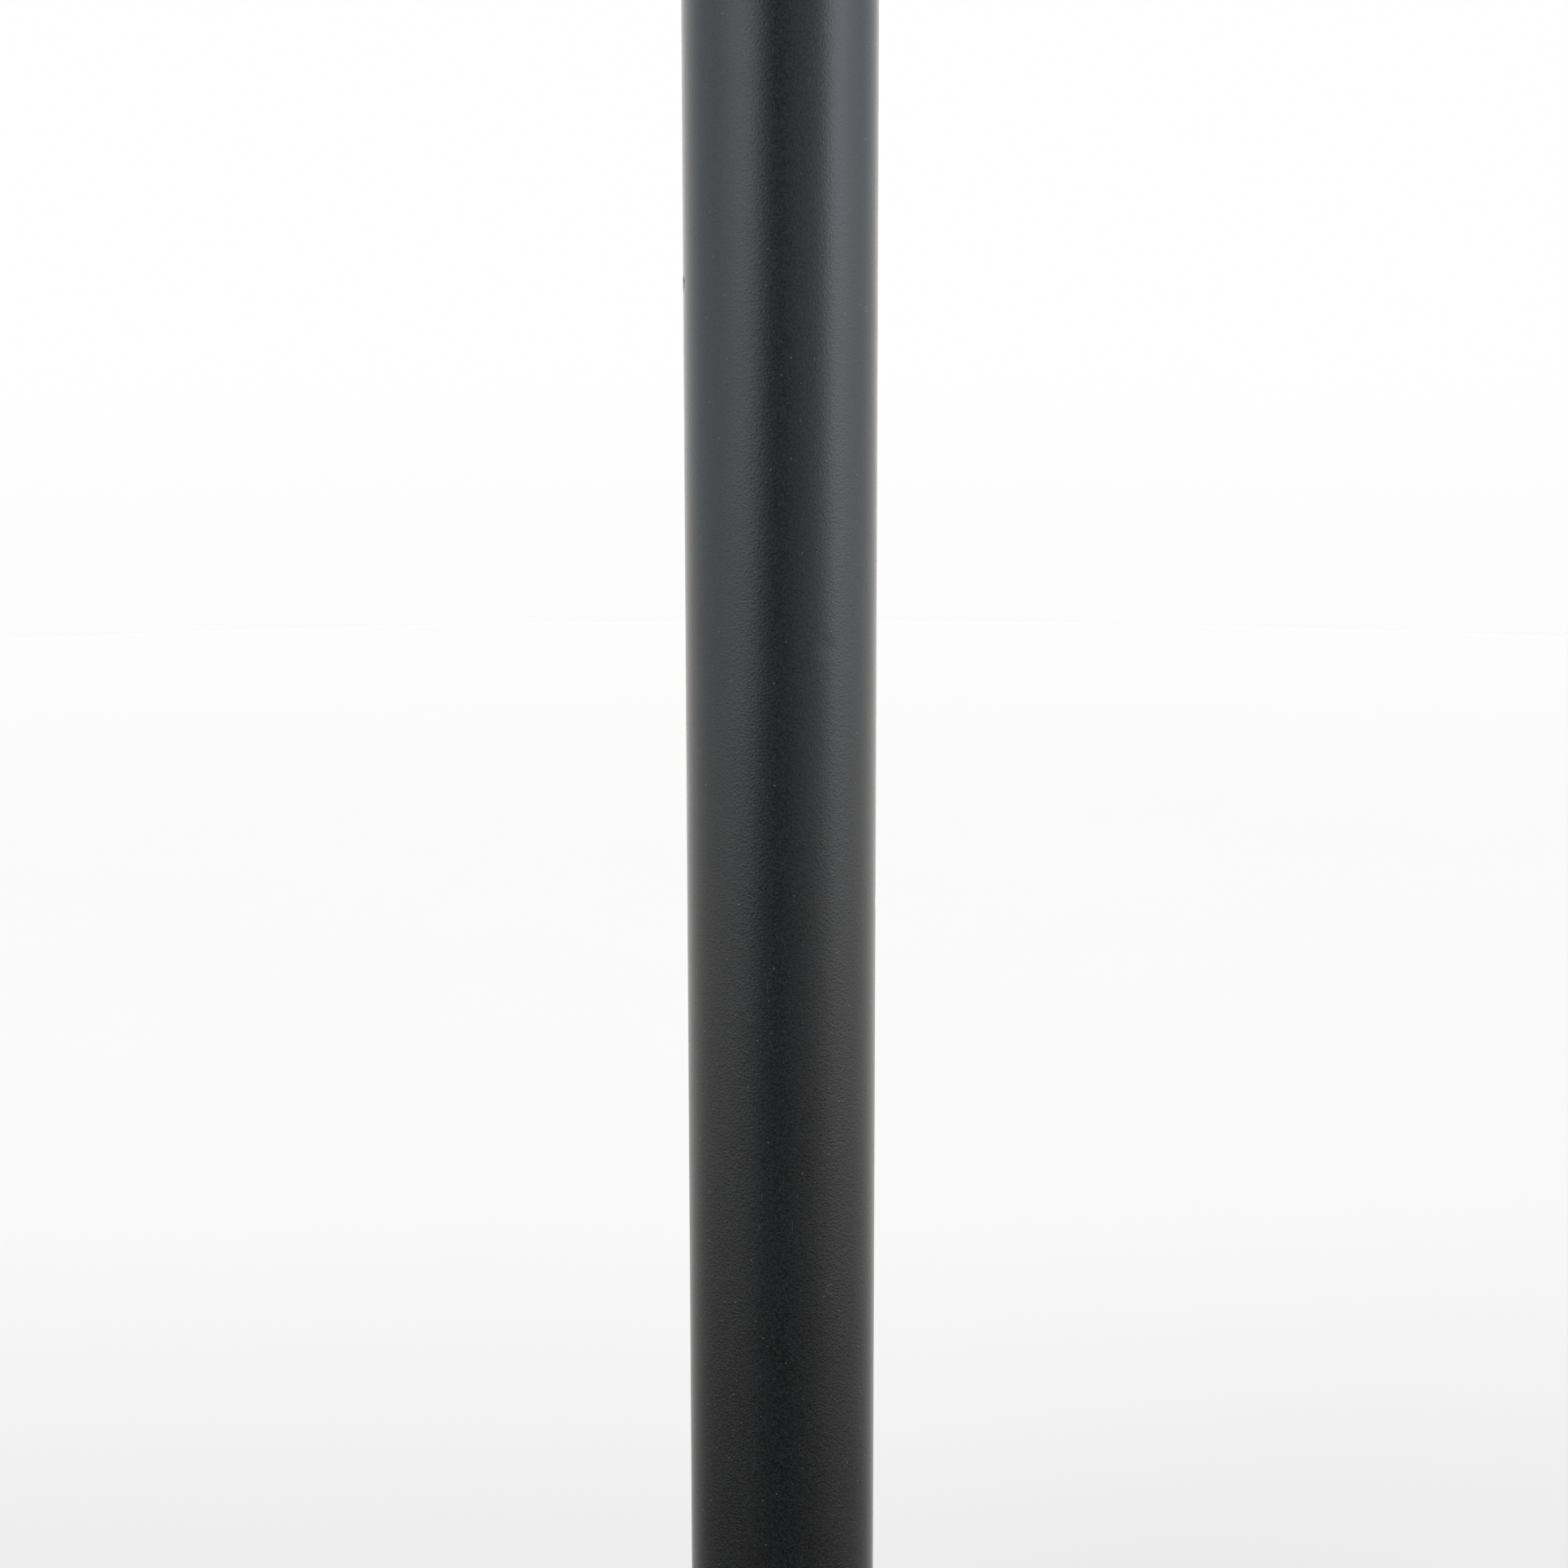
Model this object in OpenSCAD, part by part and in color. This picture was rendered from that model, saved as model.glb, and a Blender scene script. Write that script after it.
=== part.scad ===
// Free-standing ashtray bin for outdoor use.
// A round steel column stands on a weighted base. A sheltered stub-out head closes its top,
// and lifts out together with the butt canister that hangs inside the column.
// Millimetres, +Z up, -Y is the front, and the origin is on the floor under the column's axis.

/* [Column] */
// Outside diameter of the column tube
column_d = 76.1; // [74:0.1:80]
// Wall thickness of the column tube
column_wall = 2; // [1.6:0.1:2]
// Length of the column tube
column_length = 820; // [700:10:900]

/* [Base] */
// Diameter of the base plate
base_d = 330; // [320:5:400]
// Thickness of the base plate
base_t = 10; // [8:1:16]
// Diameter of the circle that the anchor holes lie on
anchor_pcd = 270; // [240:5:280]
// Diameter of each anchor hole
anchor_hole_d = 12; // [10:0.5:14]

/* [Head] */
// Length of the skirt that the head slides over the column
skirt_length = 62; // [56:1:75]
// Outside diameter of the bowl's rim
bowl_d = 143; // [142:1:148]
// Diameter of each drop hole in the stub plate
drop_hole_d = 16; // [12:1:18]
// Height of the posts that carry the canopy
post_height = 70; // [55:1:90]
// Diameter of the canopy
canopy_d = 170; // [160:1:190]
// Rise of the canopy's dome above its rim
canopy_rise = 28; // [26:1:32]

/* [Canister] */
// Gap between the canister's foot and the top of the base spigot
canister_gap = 18; // [10:1:60]
// Angle that frees the canister from its bayonet slots
twist_angle = 25; // [18:1:30]

/* [Hidden] */
$fn = 96;

// Shared gaps: sliding pieces, fixed pieces, and how far a cut runs past a face
slide_gap = 0.3;
fixed_gap = 0.05;
past = 1;

// Base: pads, plate and foot flange stacked from the floor up
pad_d = 32;
pad_t = 4;
pad_circle_r = 125;
plate_edge_r = 4;
drain_d = 16;
flange_d = 120;
flange_t = 8;
flange_bolt_pcd = 100;
m8_r = 4;
m8_head_r = 8;
spigot_h = 50;
spigot_bore_r = 28;
plate_top = pad_t + base_t;
column_z = plate_top + flange_t;

// Column
column_r = column_d / 2;
column_bore_r = column_r - column_wall;
column_top = column_z + column_length;
sleeve_wall = 1.6;
sleeve_h = 50;
sleeve_r = column_bore_r - fixed_gap;
sleeve_bore_r = sleeve_r - sleeve_wall;
column_screw_z = column_z + 20;
column_screw_angles = [90, 210, 330];
m6_r = 3;

// Base cover: a trumpet shape that runs down from a collar round the column
cover_t = 1.6;
cover_bore_r = column_r + slide_gap;
cover_collar_r = cover_bore_r + cover_t;
cover_collar_h = 10;
cover_lip_h = 5;
cover_lip_r = 78;
cover_flare_h = 46;
cover_flare_w = cover_lip_r - cover_collar_r;
cover_flare_r = (pow(cover_flare_h, 2) + pow(cover_flare_w, 2)) / (2 * cover_flare_w);

// Head casting: skirt, flared bowl and rim
skirt_wall = 4.15;
skirt_bore_r = column_r + slide_gap;
skirt_r = skirt_bore_r + skirt_wall;
gasket_t = 2.5;
ring_flange_t = 5;
web_t = 6;
web_z = column_top + gasket_t + ring_flange_t;
web_bore_r = 28.6;
flare_r = 90;
flare_z = column_top - 6;
flare_axis_r = skirt_r + flare_r;
bowl_r = bowl_d / 2;
rim_wall = 4;
rim_h = 15;
rim_edge_r = 1.5;
flare_end_r = bowl_r - rim_edge_r;
flare_h = sqrt(pow(flare_r, 2) - pow(flare_axis_r - flare_end_r, 2));
rim_z = flare_z + flare_h;
rim_top = rim_z + rim_h;
bowl_wall = 4.5;
ledge_z = rim_top - 13;
ledge_bore_r = bowl_r - 11.5;
rim_bore_r = bowl_r - rim_wall;
boss_r = 7;
boss_h = 12;

// Stub plate, funnel and canopy posts
sheet_t = 1;
plate_t = 2;
insert_r = rim_bore_r - slide_gap;
stub_z = ledge_z + sheet_t;
stub_top = stub_z + plate_t;
post_circle_r = 56;
post_angles = [90, 210, 330];
drop_angles = [30, 150, 270];
drop_circle_r = 31;
post_r = 6;
post_hole_r = 3.2;
washer_t = 1;
washer_r = 8;
post_z = stub_top + washer_t;
post_top = post_z + post_height;
stud_depth = 10;
rib_h = 1;
rib_w = 1.6;
rib_pitch = 5;
rib_zone_r = 17;
neck_r = 27.8;
neck_z = column_top - 14;
cone_z = column_top + 18;
cone_top_r = 48;

// Canopy
canopy_r = canopy_d / 2;
canopy_t = 2.5;
canopy_z = post_top - 1;
canopy_lip_h = 6;
canopy_sphere_r = (pow(canopy_r, 2) + pow(canopy_rise, 2)) / (2 * canopy_rise);
canopy_centre_z = canopy_z + canopy_rise - canopy_sphere_r;
canopy_boss_r = 9.5;
canopy_skin_z = canopy_centre_z + sqrt(pow(canopy_sphere_r, 2) - pow(post_circle_r, 2));
seat_z = canopy_skin_z - 2.6;
seat_r = 8;
seal_t = 1.5;
seal_r = 6;
m5_r = 2.5;
m5_head_r = 4.75;
m5_head_h = 2.75;

// Bayonet ring, and the canister that hangs in it
ring_bore_r = 31.7;
ring_r = sleeve_bore_r - 0.2;
ring_depth = 30;
ring_screw_r = 34;
ring_screw_angles = [30, 150, 270];
m4_r = 2;
m4_head_r = 4;
pin_r = 2.5;
pin_slot_r = pin_r + slide_gap;
pin_angles = [60, 180, 300];
pin_z = column_top - 16;
collar_bore_r = 28.8;
collar_r = ring_bore_r - slide_gap;
collar_z = column_top - 50;
collar_top = column_top - 6;
can_t = 1;
can_r = 33;
can_bore_r = can_r - can_t;
can_z = column_z + spigot_h + canister_gap;
can_top = column_top - 34;
can_base_h = 10;
rivet_r = 1.6;
rivet_head_r = 3;
rivet_head_h = 0.9;
rivet_z = can_top - 8;
rivet_angles = [15, 105, 195, 285];
glide_z = can_z + 4;
glide_h = 10;
glide_r = sleeve_bore_r - 0.25;

// Lock: a quarter-turn spindle whose flats pass the narrow neck of the column's notch
lock_z = column_top - 28;
lock_boss_r = 15;
lock_boss_y = -(column_r + 16);
bezel_r = 10;
bezel_flange_r = 13.5;
bezel_flange_t = 3;
bezel_end_y = -(skirt_r - 0.9);
bezel_face_y = lock_boss_y - bezel_flange_t;
key_recess_r = 8.5;
key_recess_depth = 7.5;
recess_y = bezel_face_y + key_recess_depth;
spindle_r = 7;
spindle_bore_r = spindle_r + fixed_gap;
spindle_end_y = -(ring_r + 0.4);
spindle_collar_r = 8.2;
spindle_collar_t = 1.5;
key_r = 5.6;
flat_half = 4.2;
flat_y = bezel_end_y + 1.4;
notch_r = spindle_r + 0.5;
notch_neck_w = 2 * flat_half + 0.6;
groove_r = 5.7;
groove_y = bezel_end_y - 5;
groove_w = 2.2;
clip_t = 1;
clip_y = bezel_end_y + 0.1;
clip_groove_r = 6;
clip_r = 8.5;
grub_y = lock_boss_y + 6;

// Paint and metal colours
PAINT = [0.11, 0.11, 0.12];
STEEL = [0.72, 0.72, 0.7];
ZINC = [0.62, 0.64, 0.66];
ALUMINIUM = [0.78, 0.79, 0.8];
RUBBER = [0.06, 0.06, 0.06];
NYLON = [0.86, 0.85, 0.8];

// Turns a child that is modelled along +Z so that it runs from the axis out of the front
module to_front(y, z) {
    translate([0, y, z]) rotate([90, 0, 0]) children();
}

// Copies a child to each angle round the Z axis
module around(angles) {
    for (a = angles) rotate(a) children();
}

// A round tube standing on z
module tube(r, bore_r, z, h) {
    translate([0, 0, z]) difference() {
        cylinder(r = r, h = h);
        translate([0, 0, -past]) cylinder(r = bore_r, h = h + 2 * past);
    }
}

// The half section of a disc whose top edge is rounded
module rounded_disc_section(r, h, edge) {
    square([r - edge, h]);
    square([r, h - edge]);
    translate([r - edge, h - edge]) circle(r = edge);
}

// A hexagon socket, pointing down from its mouth at the origin
module hex_socket(across, depth) {
    translate([0, 0, -depth]) cylinder(d = across / cos(30), h = depth + past, $fn = 6);
}

// A countersunk screw with its head's face at z = 0 and its shank pointing down
module countersunk_screw(r, head_r, length, socket) {
    difference() {
        union() {
            translate([0, 0, r - head_r]) cylinder(r1 = r, r2 = head_r, h = head_r - r);
            translate([0, 0, -length]) cylinder(r = r, h = length);
        }
        hex_socket(socket, head_r * 0.4);
    }
}

// The hole that a countersunk screw goes through, with its mouth at z = 0
module countersunk_hole(r, head_r, length) {
    translate([0, 0, r - head_r]) cylinder(r1 = r, r2 = head_r, h = head_r - r);
    translate([0, 0, -length]) cylinder(r = r, h = length);
    cylinder(r = head_r, h = past);
}

// A button-head screw with the underside of its head at z = 0
module button_screw(r, head_r, head_h, length, socket) {
    dome_r = (head_r * head_r + head_h * head_h) / (2 * head_h);
    difference() {
        union() {
            intersection() {
                cylinder(r = head_r, h = head_h);
                translate([0, 0, head_h - dome_r]) sphere(r = dome_r);
            }
            translate([0, 0, -length]) cylinder(r = r, h = length);
        }
        translate([0, 0, head_h]) hex_socket(socket, head_h * 0.7);
    }
}

// ---- Base ----

module floor_pads() {
    color(RUBBER) around([45, 135, 225, 315]) translate([pad_circle_r, 0, 0]) {
        cylinder(r1 = pad_d / 2 - 1, r2 = pad_d / 2, h = 1);
        translate([0, 0, 1]) cylinder(d = pad_d, h = pad_t - 1);
    }
}

module base_plate() {
    color(PAINT) difference() {
        translate([0, 0, pad_t]) rotate_extrude() rounded_disc_section(base_d / 2, base_t, plate_edge_r);
        translate([0, 0, pad_t - past]) cylinder(d = drain_d, h = base_t + 2 * past);
        around([0, 90, 180, 270]) translate([anchor_pcd / 2, 0, pad_t - past])
            cylinder(d = anchor_hole_d, h = base_t + 2 * past);
        around([0, 90, 180, 270]) translate([flange_bolt_pcd / 2, 0, pad_t]) rotate([180, 0, 0])
            countersunk_hole(m8_r + slide_gap, m8_head_r + slide_gap, base_t + past);
    }
}

module flange_bolts() {
    length = base_t + flange_t - 2;
    color(ZINC) around([0, 90, 180, 270]) translate([flange_bolt_pcd / 2, 0, pad_t + slide_gap])
        rotate([180, 0, 0]) countersunk_screw(m8_r - fixed_gap, m8_head_r, length, 5);
}

module foot_flange() {
    color(PAINT) difference() {
        union() {
            translate([0, 0, plate_top]) cylinder(d = flange_d, h = flange_t);
            translate([0, 0, column_z]) cylinder(r = column_bore_r - fixed_gap, h = spigot_h);
        }
        translate([0, 0, plate_top - past]) cylinder(r = spigot_bore_r, h = flange_t + spigot_h + 2 * past);
        around([0, 90, 180, 270]) translate([flange_bolt_pcd / 2, 0, plate_top - past])
            cylinder(r = m8_r, h = flange_t + 2 * past);
        around(column_screw_angles) translate([0, 0, column_screw_z]) rotate([0, 90, 0])
            cylinder(r = m6_r, h = column_r + past);
    }
}

module column_screws() {
    color(ZINC) around(column_screw_angles) translate([column_r + fixed_gap, 0, column_screw_z])
        rotate([0, 90, 0]) button_screw(m6_r - fixed_gap, 5.25, 3.3, 9, 4);
}

module base_cover() {
    color(PAINT) translate([0, 0, plate_top + fixed_gap]) rotate_extrude() difference() {
        cover_section(0);
        translate([0, -past]) cover_section(cover_t);
        translate([0, -past]) square([cover_bore_r, 3 * cover_lip_r]);
    }
}

// Half section of the base cover's outside, or of its inside when inset is the sheet's thickness
module cover_section(inset) {
    top = cover_lip_h + cover_flare_h;
    square([cover_lip_r - inset, cover_lip_h + past * sign(inset) - inset]);
    square([cover_collar_r - inset, top + cover_collar_h]);
    difference() {
        square([cover_lip_r - inset, top + past * sign(inset)]);
        translate([cover_collar_r + cover_flare_r, top + past * sign(inset)])
            circle(r = cover_flare_r + inset);
    }
}

// ---- Column ----

// The notch that the lock spindle slides out of: a round seat with a narrow neck above it
module lock_notch() {
    reach = column_r + past;
    to_front(0, lock_z) cylinder(r = notch_r, h = reach);
    translate([-notch_neck_w / 2, -reach, lock_z]) cube([notch_neck_w, reach, column_top - lock_z + past]);
}

module column_tube() {
    color(PAINT) difference() {
        tube(column_r, column_bore_r, column_z, column_length);
        lock_notch();
        around(column_screw_angles) translate([0, 0, column_screw_z]) rotate([0, 90, 0])
            cylinder(r = m6_r + 0.2, h = column_r + past);
    }
}

module column_sleeve() {
    color(STEEL) difference() {
        tube(sleeve_r, sleeve_bore_r, column_top - sleeve_h, sleeve_h);
        lock_notch();
    }
}

// ---- Head ----

// Half section of the head's outside, filled to the axis
module head_section() {
    translate([0, column_top - skirt_length]) square([skirt_r, skirt_length]);
    difference() {
        translate([0, flare_z]) square([flare_end_r, flare_h + past]);
        translate([flare_axis_r, flare_z]) circle(r = flare_r);
    }
    translate([0, rim_z + rim_edge_r]) rounded_disc_section(bowl_r, rim_h - rim_edge_r, rim_edge_r);
    translate([0, rim_z]) square([bowl_r - rim_edge_r, rim_edge_r + past]);
    translate([bowl_r - rim_edge_r, rim_z + rim_edge_r]) circle(r = rim_edge_r);
}

// Half section of the hollow inside the head, in its three steps: skirt, bowl and plate seat
module head_hollow_section() {
    translate([0, column_top - skirt_length - past]) square([skirt_bore_r, web_z - column_top + skirt_length + past]);
    square([web_bore_r, rim_top]);
    intersection() {
        translate([0, web_z + web_t]) square([ledge_bore_r, rim_top - web_z]);
        difference() {
            translate([0, flare_z]) square([flare_axis_r, flare_r]);
            translate([flare_axis_r, flare_z]) circle(r = flare_r + bowl_wall);
        }
    }
    translate([0, ledge_z]) square([rim_bore_r, rim_h]);
}

module head_casting() {
    color(PAINT) difference() {
        union() {
            difference() {
                union() {
                    rotate_extrude() head_section();
                    to_front(0, lock_z) cylinder(r = lock_boss_r, h = -lock_boss_y);
                }
                rotate_extrude() head_hollow_section();
            }
            intersection() {
                rotate_extrude() head_section();
                around(post_angles) translate([post_circle_r, 0, ledge_z - boss_h]) cylinder(r = boss_r, h = boss_h);
            }
        }
        around(post_angles) translate([post_circle_r, 0, ledge_z - stud_depth - past])
            cylinder(r = m6_r, h = stud_depth + 2 * past);
        around(ring_screw_angles) translate([ring_screw_r, 0, web_z + web_t])
            countersunk_hole(m4_r + 0.25, m4_head_r + 0.25, web_t + past);
        to_front(-(column_r - past), lock_z) cylinder(r = bezel_r, h = 3 * lock_boss_r);
        translate([0, grub_y, lock_z - lock_boss_r - past]) cylinder(r = m4_r, h = lock_boss_r);
    }
}

module head_gasket() {
    color(RUBBER) tube(column_r - fixed_gap, ring_r + 0.5, column_top, gasket_t);
}

module funnel() {
    color(STEEL) translate([0, 0, neck_z]) difference() {
        rotate_extrude() polygon([
            [neck_r - sheet_t, 0], [neck_r, 0], [neck_r, cone_z - neck_z],
            [cone_top_r, ledge_z - neck_z], [insert_r, ledge_z - neck_z],
            [insert_r, stub_z - neck_z], [cone_top_r - sheet_t, stub_z - neck_z],
            [neck_r - sheet_t, cone_z - neck_z]
        ]);
        around(post_angles) translate([post_circle_r, 0, 0]) cylinder(r = post_hole_r, h = rim_top - neck_z);
    }
}

module stub_plate() {
    color(STEEL) {
        difference() {
            translate([0, 0, stub_z]) cylinder(r = insert_r, h = plate_t);
            around(drop_angles) translate([drop_circle_r, 0, stub_z - past]) {
                cylinder(d = drop_hole_d, h = plate_t + 2 * past);
                translate([0, 0, plate_t + past - 0.8]) cylinder(d1 = drop_hole_d, d2 = drop_hole_d + 2, h = 1);
            }
            around(post_angles) translate([post_circle_r, 0, stub_z - past])
                cylinder(r = post_hole_r, h = plate_t + 2 * past);
        }
        stub_ribs();
    }
}

// Parallel ribs in the middle of the stub plate, each cut to length by the round stubbing zone
module stub_ribs() {
    for (x = [-3 * rib_pitch : rib_pitch : 3 * rib_pitch]) {
        half = sqrt(pow(rib_zone_r, 2) - pow(x, 2));
        translate([x - rib_w / 2, -half, stub_top - fixed_gap]) cube([rib_w, 2 * half, rib_h + fixed_gap]);
    }
}

module post_washers() {
    color(RUBBER) around(post_angles) translate([post_circle_r, 0, 0]) tube(washer_r, post_hole_r, stub_top, washer_t);
}

module canopy_posts() {
    chamfer = 0.8;
    color(STEEL) around(post_angles) translate([post_circle_r, 0, post_z]) difference() {
        union() {
            cylinder(r1 = post_r - chamfer, r2 = post_r, h = chamfer);
            translate([0, 0, chamfer]) cylinder(r = post_r, h = post_height - 2 * chamfer);
            translate([0, 0, post_height - chamfer]) cylinder(r1 = post_r, r2 = post_r - chamfer, h = chamfer);
            translate([0, 0, ledge_z - stud_depth - post_z]) cylinder(r = m6_r - fixed_gap, h = post_z - ledge_z + stud_depth + past);
        }
        translate([0, 0, post_height - 14]) cylinder(r = m5_r, h = 14 + past);
    }
}

module canopy() {
    color(PAINT) difference() {
        union() {
            difference() {
                canopy_solid(0);
                canopy_solid(canopy_t);
            }
            intersection() {
                canopy_solid(0);
                around(post_angles) translate([post_circle_r, 0, post_top]) cylinder(r = canopy_boss_r, h = canopy_rise);
            }
        }
        around(post_angles) translate([post_circle_r, 0, 0]) {
            translate([0, 0, post_top - past]) cylinder(r = m5_r + 0.2, h = canopy_rise + 2 * past);
            translate([0, 0, seat_z]) cylinder(r = seat_r, h = canopy_rise);
        }
    }
}

// The canopy's outside filled down to its lip, or its inside when inset is the wall's thickness
module canopy_solid(inset) {
    cut = past * sign(inset);
    intersection() {
        translate([0, 0, canopy_centre_z]) sphere(r = canopy_sphere_r - inset, $fn = 160);
        translate([0, 0, canopy_z - canopy_lip_h - cut]) cylinder(r = canopy_r - inset, h = canopy_rise + canopy_lip_h + 2 * past);
    }
}

module canopy_seals() {
    color(RUBBER) around(post_angles) translate([post_circle_r, 0, 0]) tube(seal_r, m5_r + 0.2, seat_z, seal_t);
}

module canopy_screws() {
    length = seat_z + seal_t - post_top + 10;
    color(STEEL) around(post_angles) translate([post_circle_r, 0, seat_z + seal_t])
        button_screw(m5_r - fixed_gap, m5_head_r, m5_head_h, length, 3);
}

// ---- Bayonet ring ----

// The slot for one pin: a level run from the resting place, then the way out at the bottom
module pin_slot() {
    level = 2 * pin_slot_r;
    reach = ring_r + past;
    for (a = [0, twist_angle]) rotate(a) translate([0, 0, pin_z]) rotate([0, 90, 0])
        cylinder(r = pin_slot_r, h = reach);
    rotate_extrude(angle = twist_angle) translate([ring_bore_r - past, pin_z - pin_slot_r])
        square([reach - ring_bore_r + past, level]);
    rotate(twist_angle) translate([0, -pin_slot_r, column_top - ring_depth - past])
        cube([reach, level, pin_z - column_top + ring_depth + past]);
}

module bayonet_ring() {
    color(STEEL) difference() {
        union() {
            tube(ring_r, ring_bore_r, column_top - ring_depth, ring_depth + gasket_t);
            tube(column_r - fixed_gap, web_bore_r, column_top + gasket_t, ring_flange_t - fixed_gap);
        }
        around(pin_angles) pin_slot();
        around(ring_screw_angles) translate([ring_screw_r, 0, column_top + gasket_t])
            cylinder(r = m4_r, h = ring_flange_t + past);
    }
}

module ring_screws() {
    color(ZINC) around(ring_screw_angles) translate([ring_screw_r, 0, web_z + web_t - 0.2])
        countersunk_screw(m4_r - fixed_gap, m4_head_r, web_t + ring_flange_t - 1, 2.5);
}

// ---- Lock ----

module lock_bezel() {
    color(STEEL) difference() {
        union() {
            to_front(bezel_end_y, lock_z) cylinder(r = bezel_r - fixed_gap, h = bezel_end_y - lock_boss_y + past);
            to_front(lock_boss_y - fixed_gap, lock_z) cylinder(r1 = bezel_flange_r, r2 = bezel_flange_r - 1.5, h = bezel_flange_t);
        }
        to_front(bezel_end_y + past, lock_z) cylinder(r = spindle_bore_r, h = bezel_end_y - bezel_face_y + 2 * past);
        to_front(recess_y, lock_z) cylinder(r = key_recess_r, h = key_recess_depth + past);
    }
}

module bezel_grub_screw() {
    tip_z = lock_z - bezel_r - fixed_gap;
    length = 4;
    color(ZINC) translate([0, grub_y, tip_z - length]) difference() {
        cylinder(r = m4_r - fixed_gap, h = length);
        rotate([180, 0, 0]) hex_socket(2, 2);
    }
}

module lock_spindle() {
    shoulder_y = recess_y - fixed_gap;
    collar_y = shoulder_y - spindle_collar_t;
    color(STEEL) difference() {
        union() {
            to_front(spindle_end_y, lock_z) cylinder(r = spindle_r, h = spindle_end_y - shoulder_y + fixed_gap);
            to_front(shoulder_y, lock_z) cylinder(r = spindle_collar_r, h = spindle_collar_t);
            to_front(collar_y, lock_z) rotate(90) cylinder(r = key_r, h = collar_y - bezel_face_y - past, $fn = 3);
        }
        for (side = [-1, 1]) translate([side * (flat_half + spindle_r), flat_y + spindle_r, lock_z])
            cube(2 * spindle_r, center = true);
        spindle_groove(groove_r, groove_y, groove_w);
        spindle_groove(clip_groove_r, clip_y + fixed_gap, clip_t + 2 * fixed_gap);
    }
}

// A groove turned into the spindle, from its end nearer the column
module spindle_groove(r, y, w) {
    to_front(y + w, lock_z) difference() {
        cylinder(r = spindle_r + past, h = w);
        translate([0, 0, -past]) cylinder(r = r, h = w + 2 * past);
    }
}

module spindle_seal() {
    inner_r = groove_r + fixed_gap;
    outer_r = spindle_bore_r - 0.02;
    color(RUBBER) to_front(groove_y + groove_w - 0.1, lock_z) rotate_extrude() translate([inner_r, 0])
        square([outer_r - inner_r, groove_w - 0.2]);
}

module spindle_clip() {
    color(ZINC) to_front(clip_y + clip_t, lock_z) difference() {
        cylinder(r = clip_r, h = clip_t - fixed_gap);
        translate([0, 0, -past]) cylinder(r = clip_groove_r + fixed_gap, h = clip_t + 2 * past);
        translate([-2, 0, -past]) cube([4, clip_r + past, clip_t + 2 * past]);
    }
}

// ---- Canister ----

module canister_tube() {
    color(ALUMINIUM) difference() {
        tube(can_r, can_bore_r, can_z, can_top - can_z);
        around(rivet_angles) translate([0, 0, rivet_z]) rotate([0, 90, 0]) cylinder(r = rivet_r, h = can_r + past);
    }
}

module canister_base() {
    color(ALUMINIUM) translate([0, 0, can_z]) difference() {
        cylinder(r = can_bore_r - fixed_gap, h = can_base_h);
        translate([0, 0, -past]) cylinder(r = can_bore_r - fixed_gap - can_t, h = can_base_h + past - can_t);
        around([0 : 60 : 300]) translate([18, 0, 0]) cylinder(r = 2, h = can_base_h + past);
    }
}

module canister_collar() {
    color(ALUMINIUM) difference() {
        union() {
            tube(can_bore_r - fixed_gap, collar_bore_r, collar_z, can_top - collar_z);
            tube(collar_r, collar_bore_r, can_top - past, collar_top - can_top + past);
        }
        around(rivet_angles) translate([0, 0, rivet_z]) rotate([0, 90, 0]) cylinder(r = rivet_r, h = can_r + past);
        around(pin_angles) translate([0, 0, pin_z]) rotate([0, 90, 0]) cylinder(r = pin_r, h = can_r + past);
    }
}

module canister_rivets() {
    shank = can_r - collar_bore_r + 0.5;
    color(ZINC) around(rivet_angles) translate([can_r + 0.02, 0, rivet_z]) rotate([0, 90, 0])
        button_screw(rivet_r - fixed_gap, rivet_head_r, rivet_head_h, shank, 1);
}

module bayonet_pins() {
    color(ZINC) around(pin_angles) translate([collar_bore_r + 0.1, 0, pin_z]) rotate([0, 90, 0])
        cylinder(r = pin_r - fixed_gap, h = ring_r - 0.2 - collar_bore_r - 0.1);
}

module glide_ring() {
    color(NYLON) tube(glide_r, can_r + 0.02, glide_z, glide_h);
}

floor_pads();
base_plate();
flange_bolts();
foot_flange();
column_screws();
column_tube();
column_sleeve();
base_cover();
head_casting();
head_gasket();
funnel();
stub_plate();
post_washers();
canopy_posts();
canopy();
canopy_seals();
canopy_screws();
bayonet_ring();
ring_screws();
lock_bezel();
bezel_grub_screw();
lock_spindle();
spindle_seal();
spindle_clip();
canister_tube();
canister_base();
canister_collar();
canister_rivets();
bayonet_pins();
glide_ring();
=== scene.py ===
"""Looks of a free-standing ashtray bin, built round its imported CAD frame.

Each sub-assembly is a class that models its visible pieces with Blender's own tools and dresses
them. Sizes are in metres, in the frame's own axes: +Z up, -Y the front.
"""

import logging
import math
from dataclasses import dataclass
from enum import Enum
from typing import Callable, Sequence, Union

import bpy
import numpy as np
from mathutils import Matrix, Vector


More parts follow.
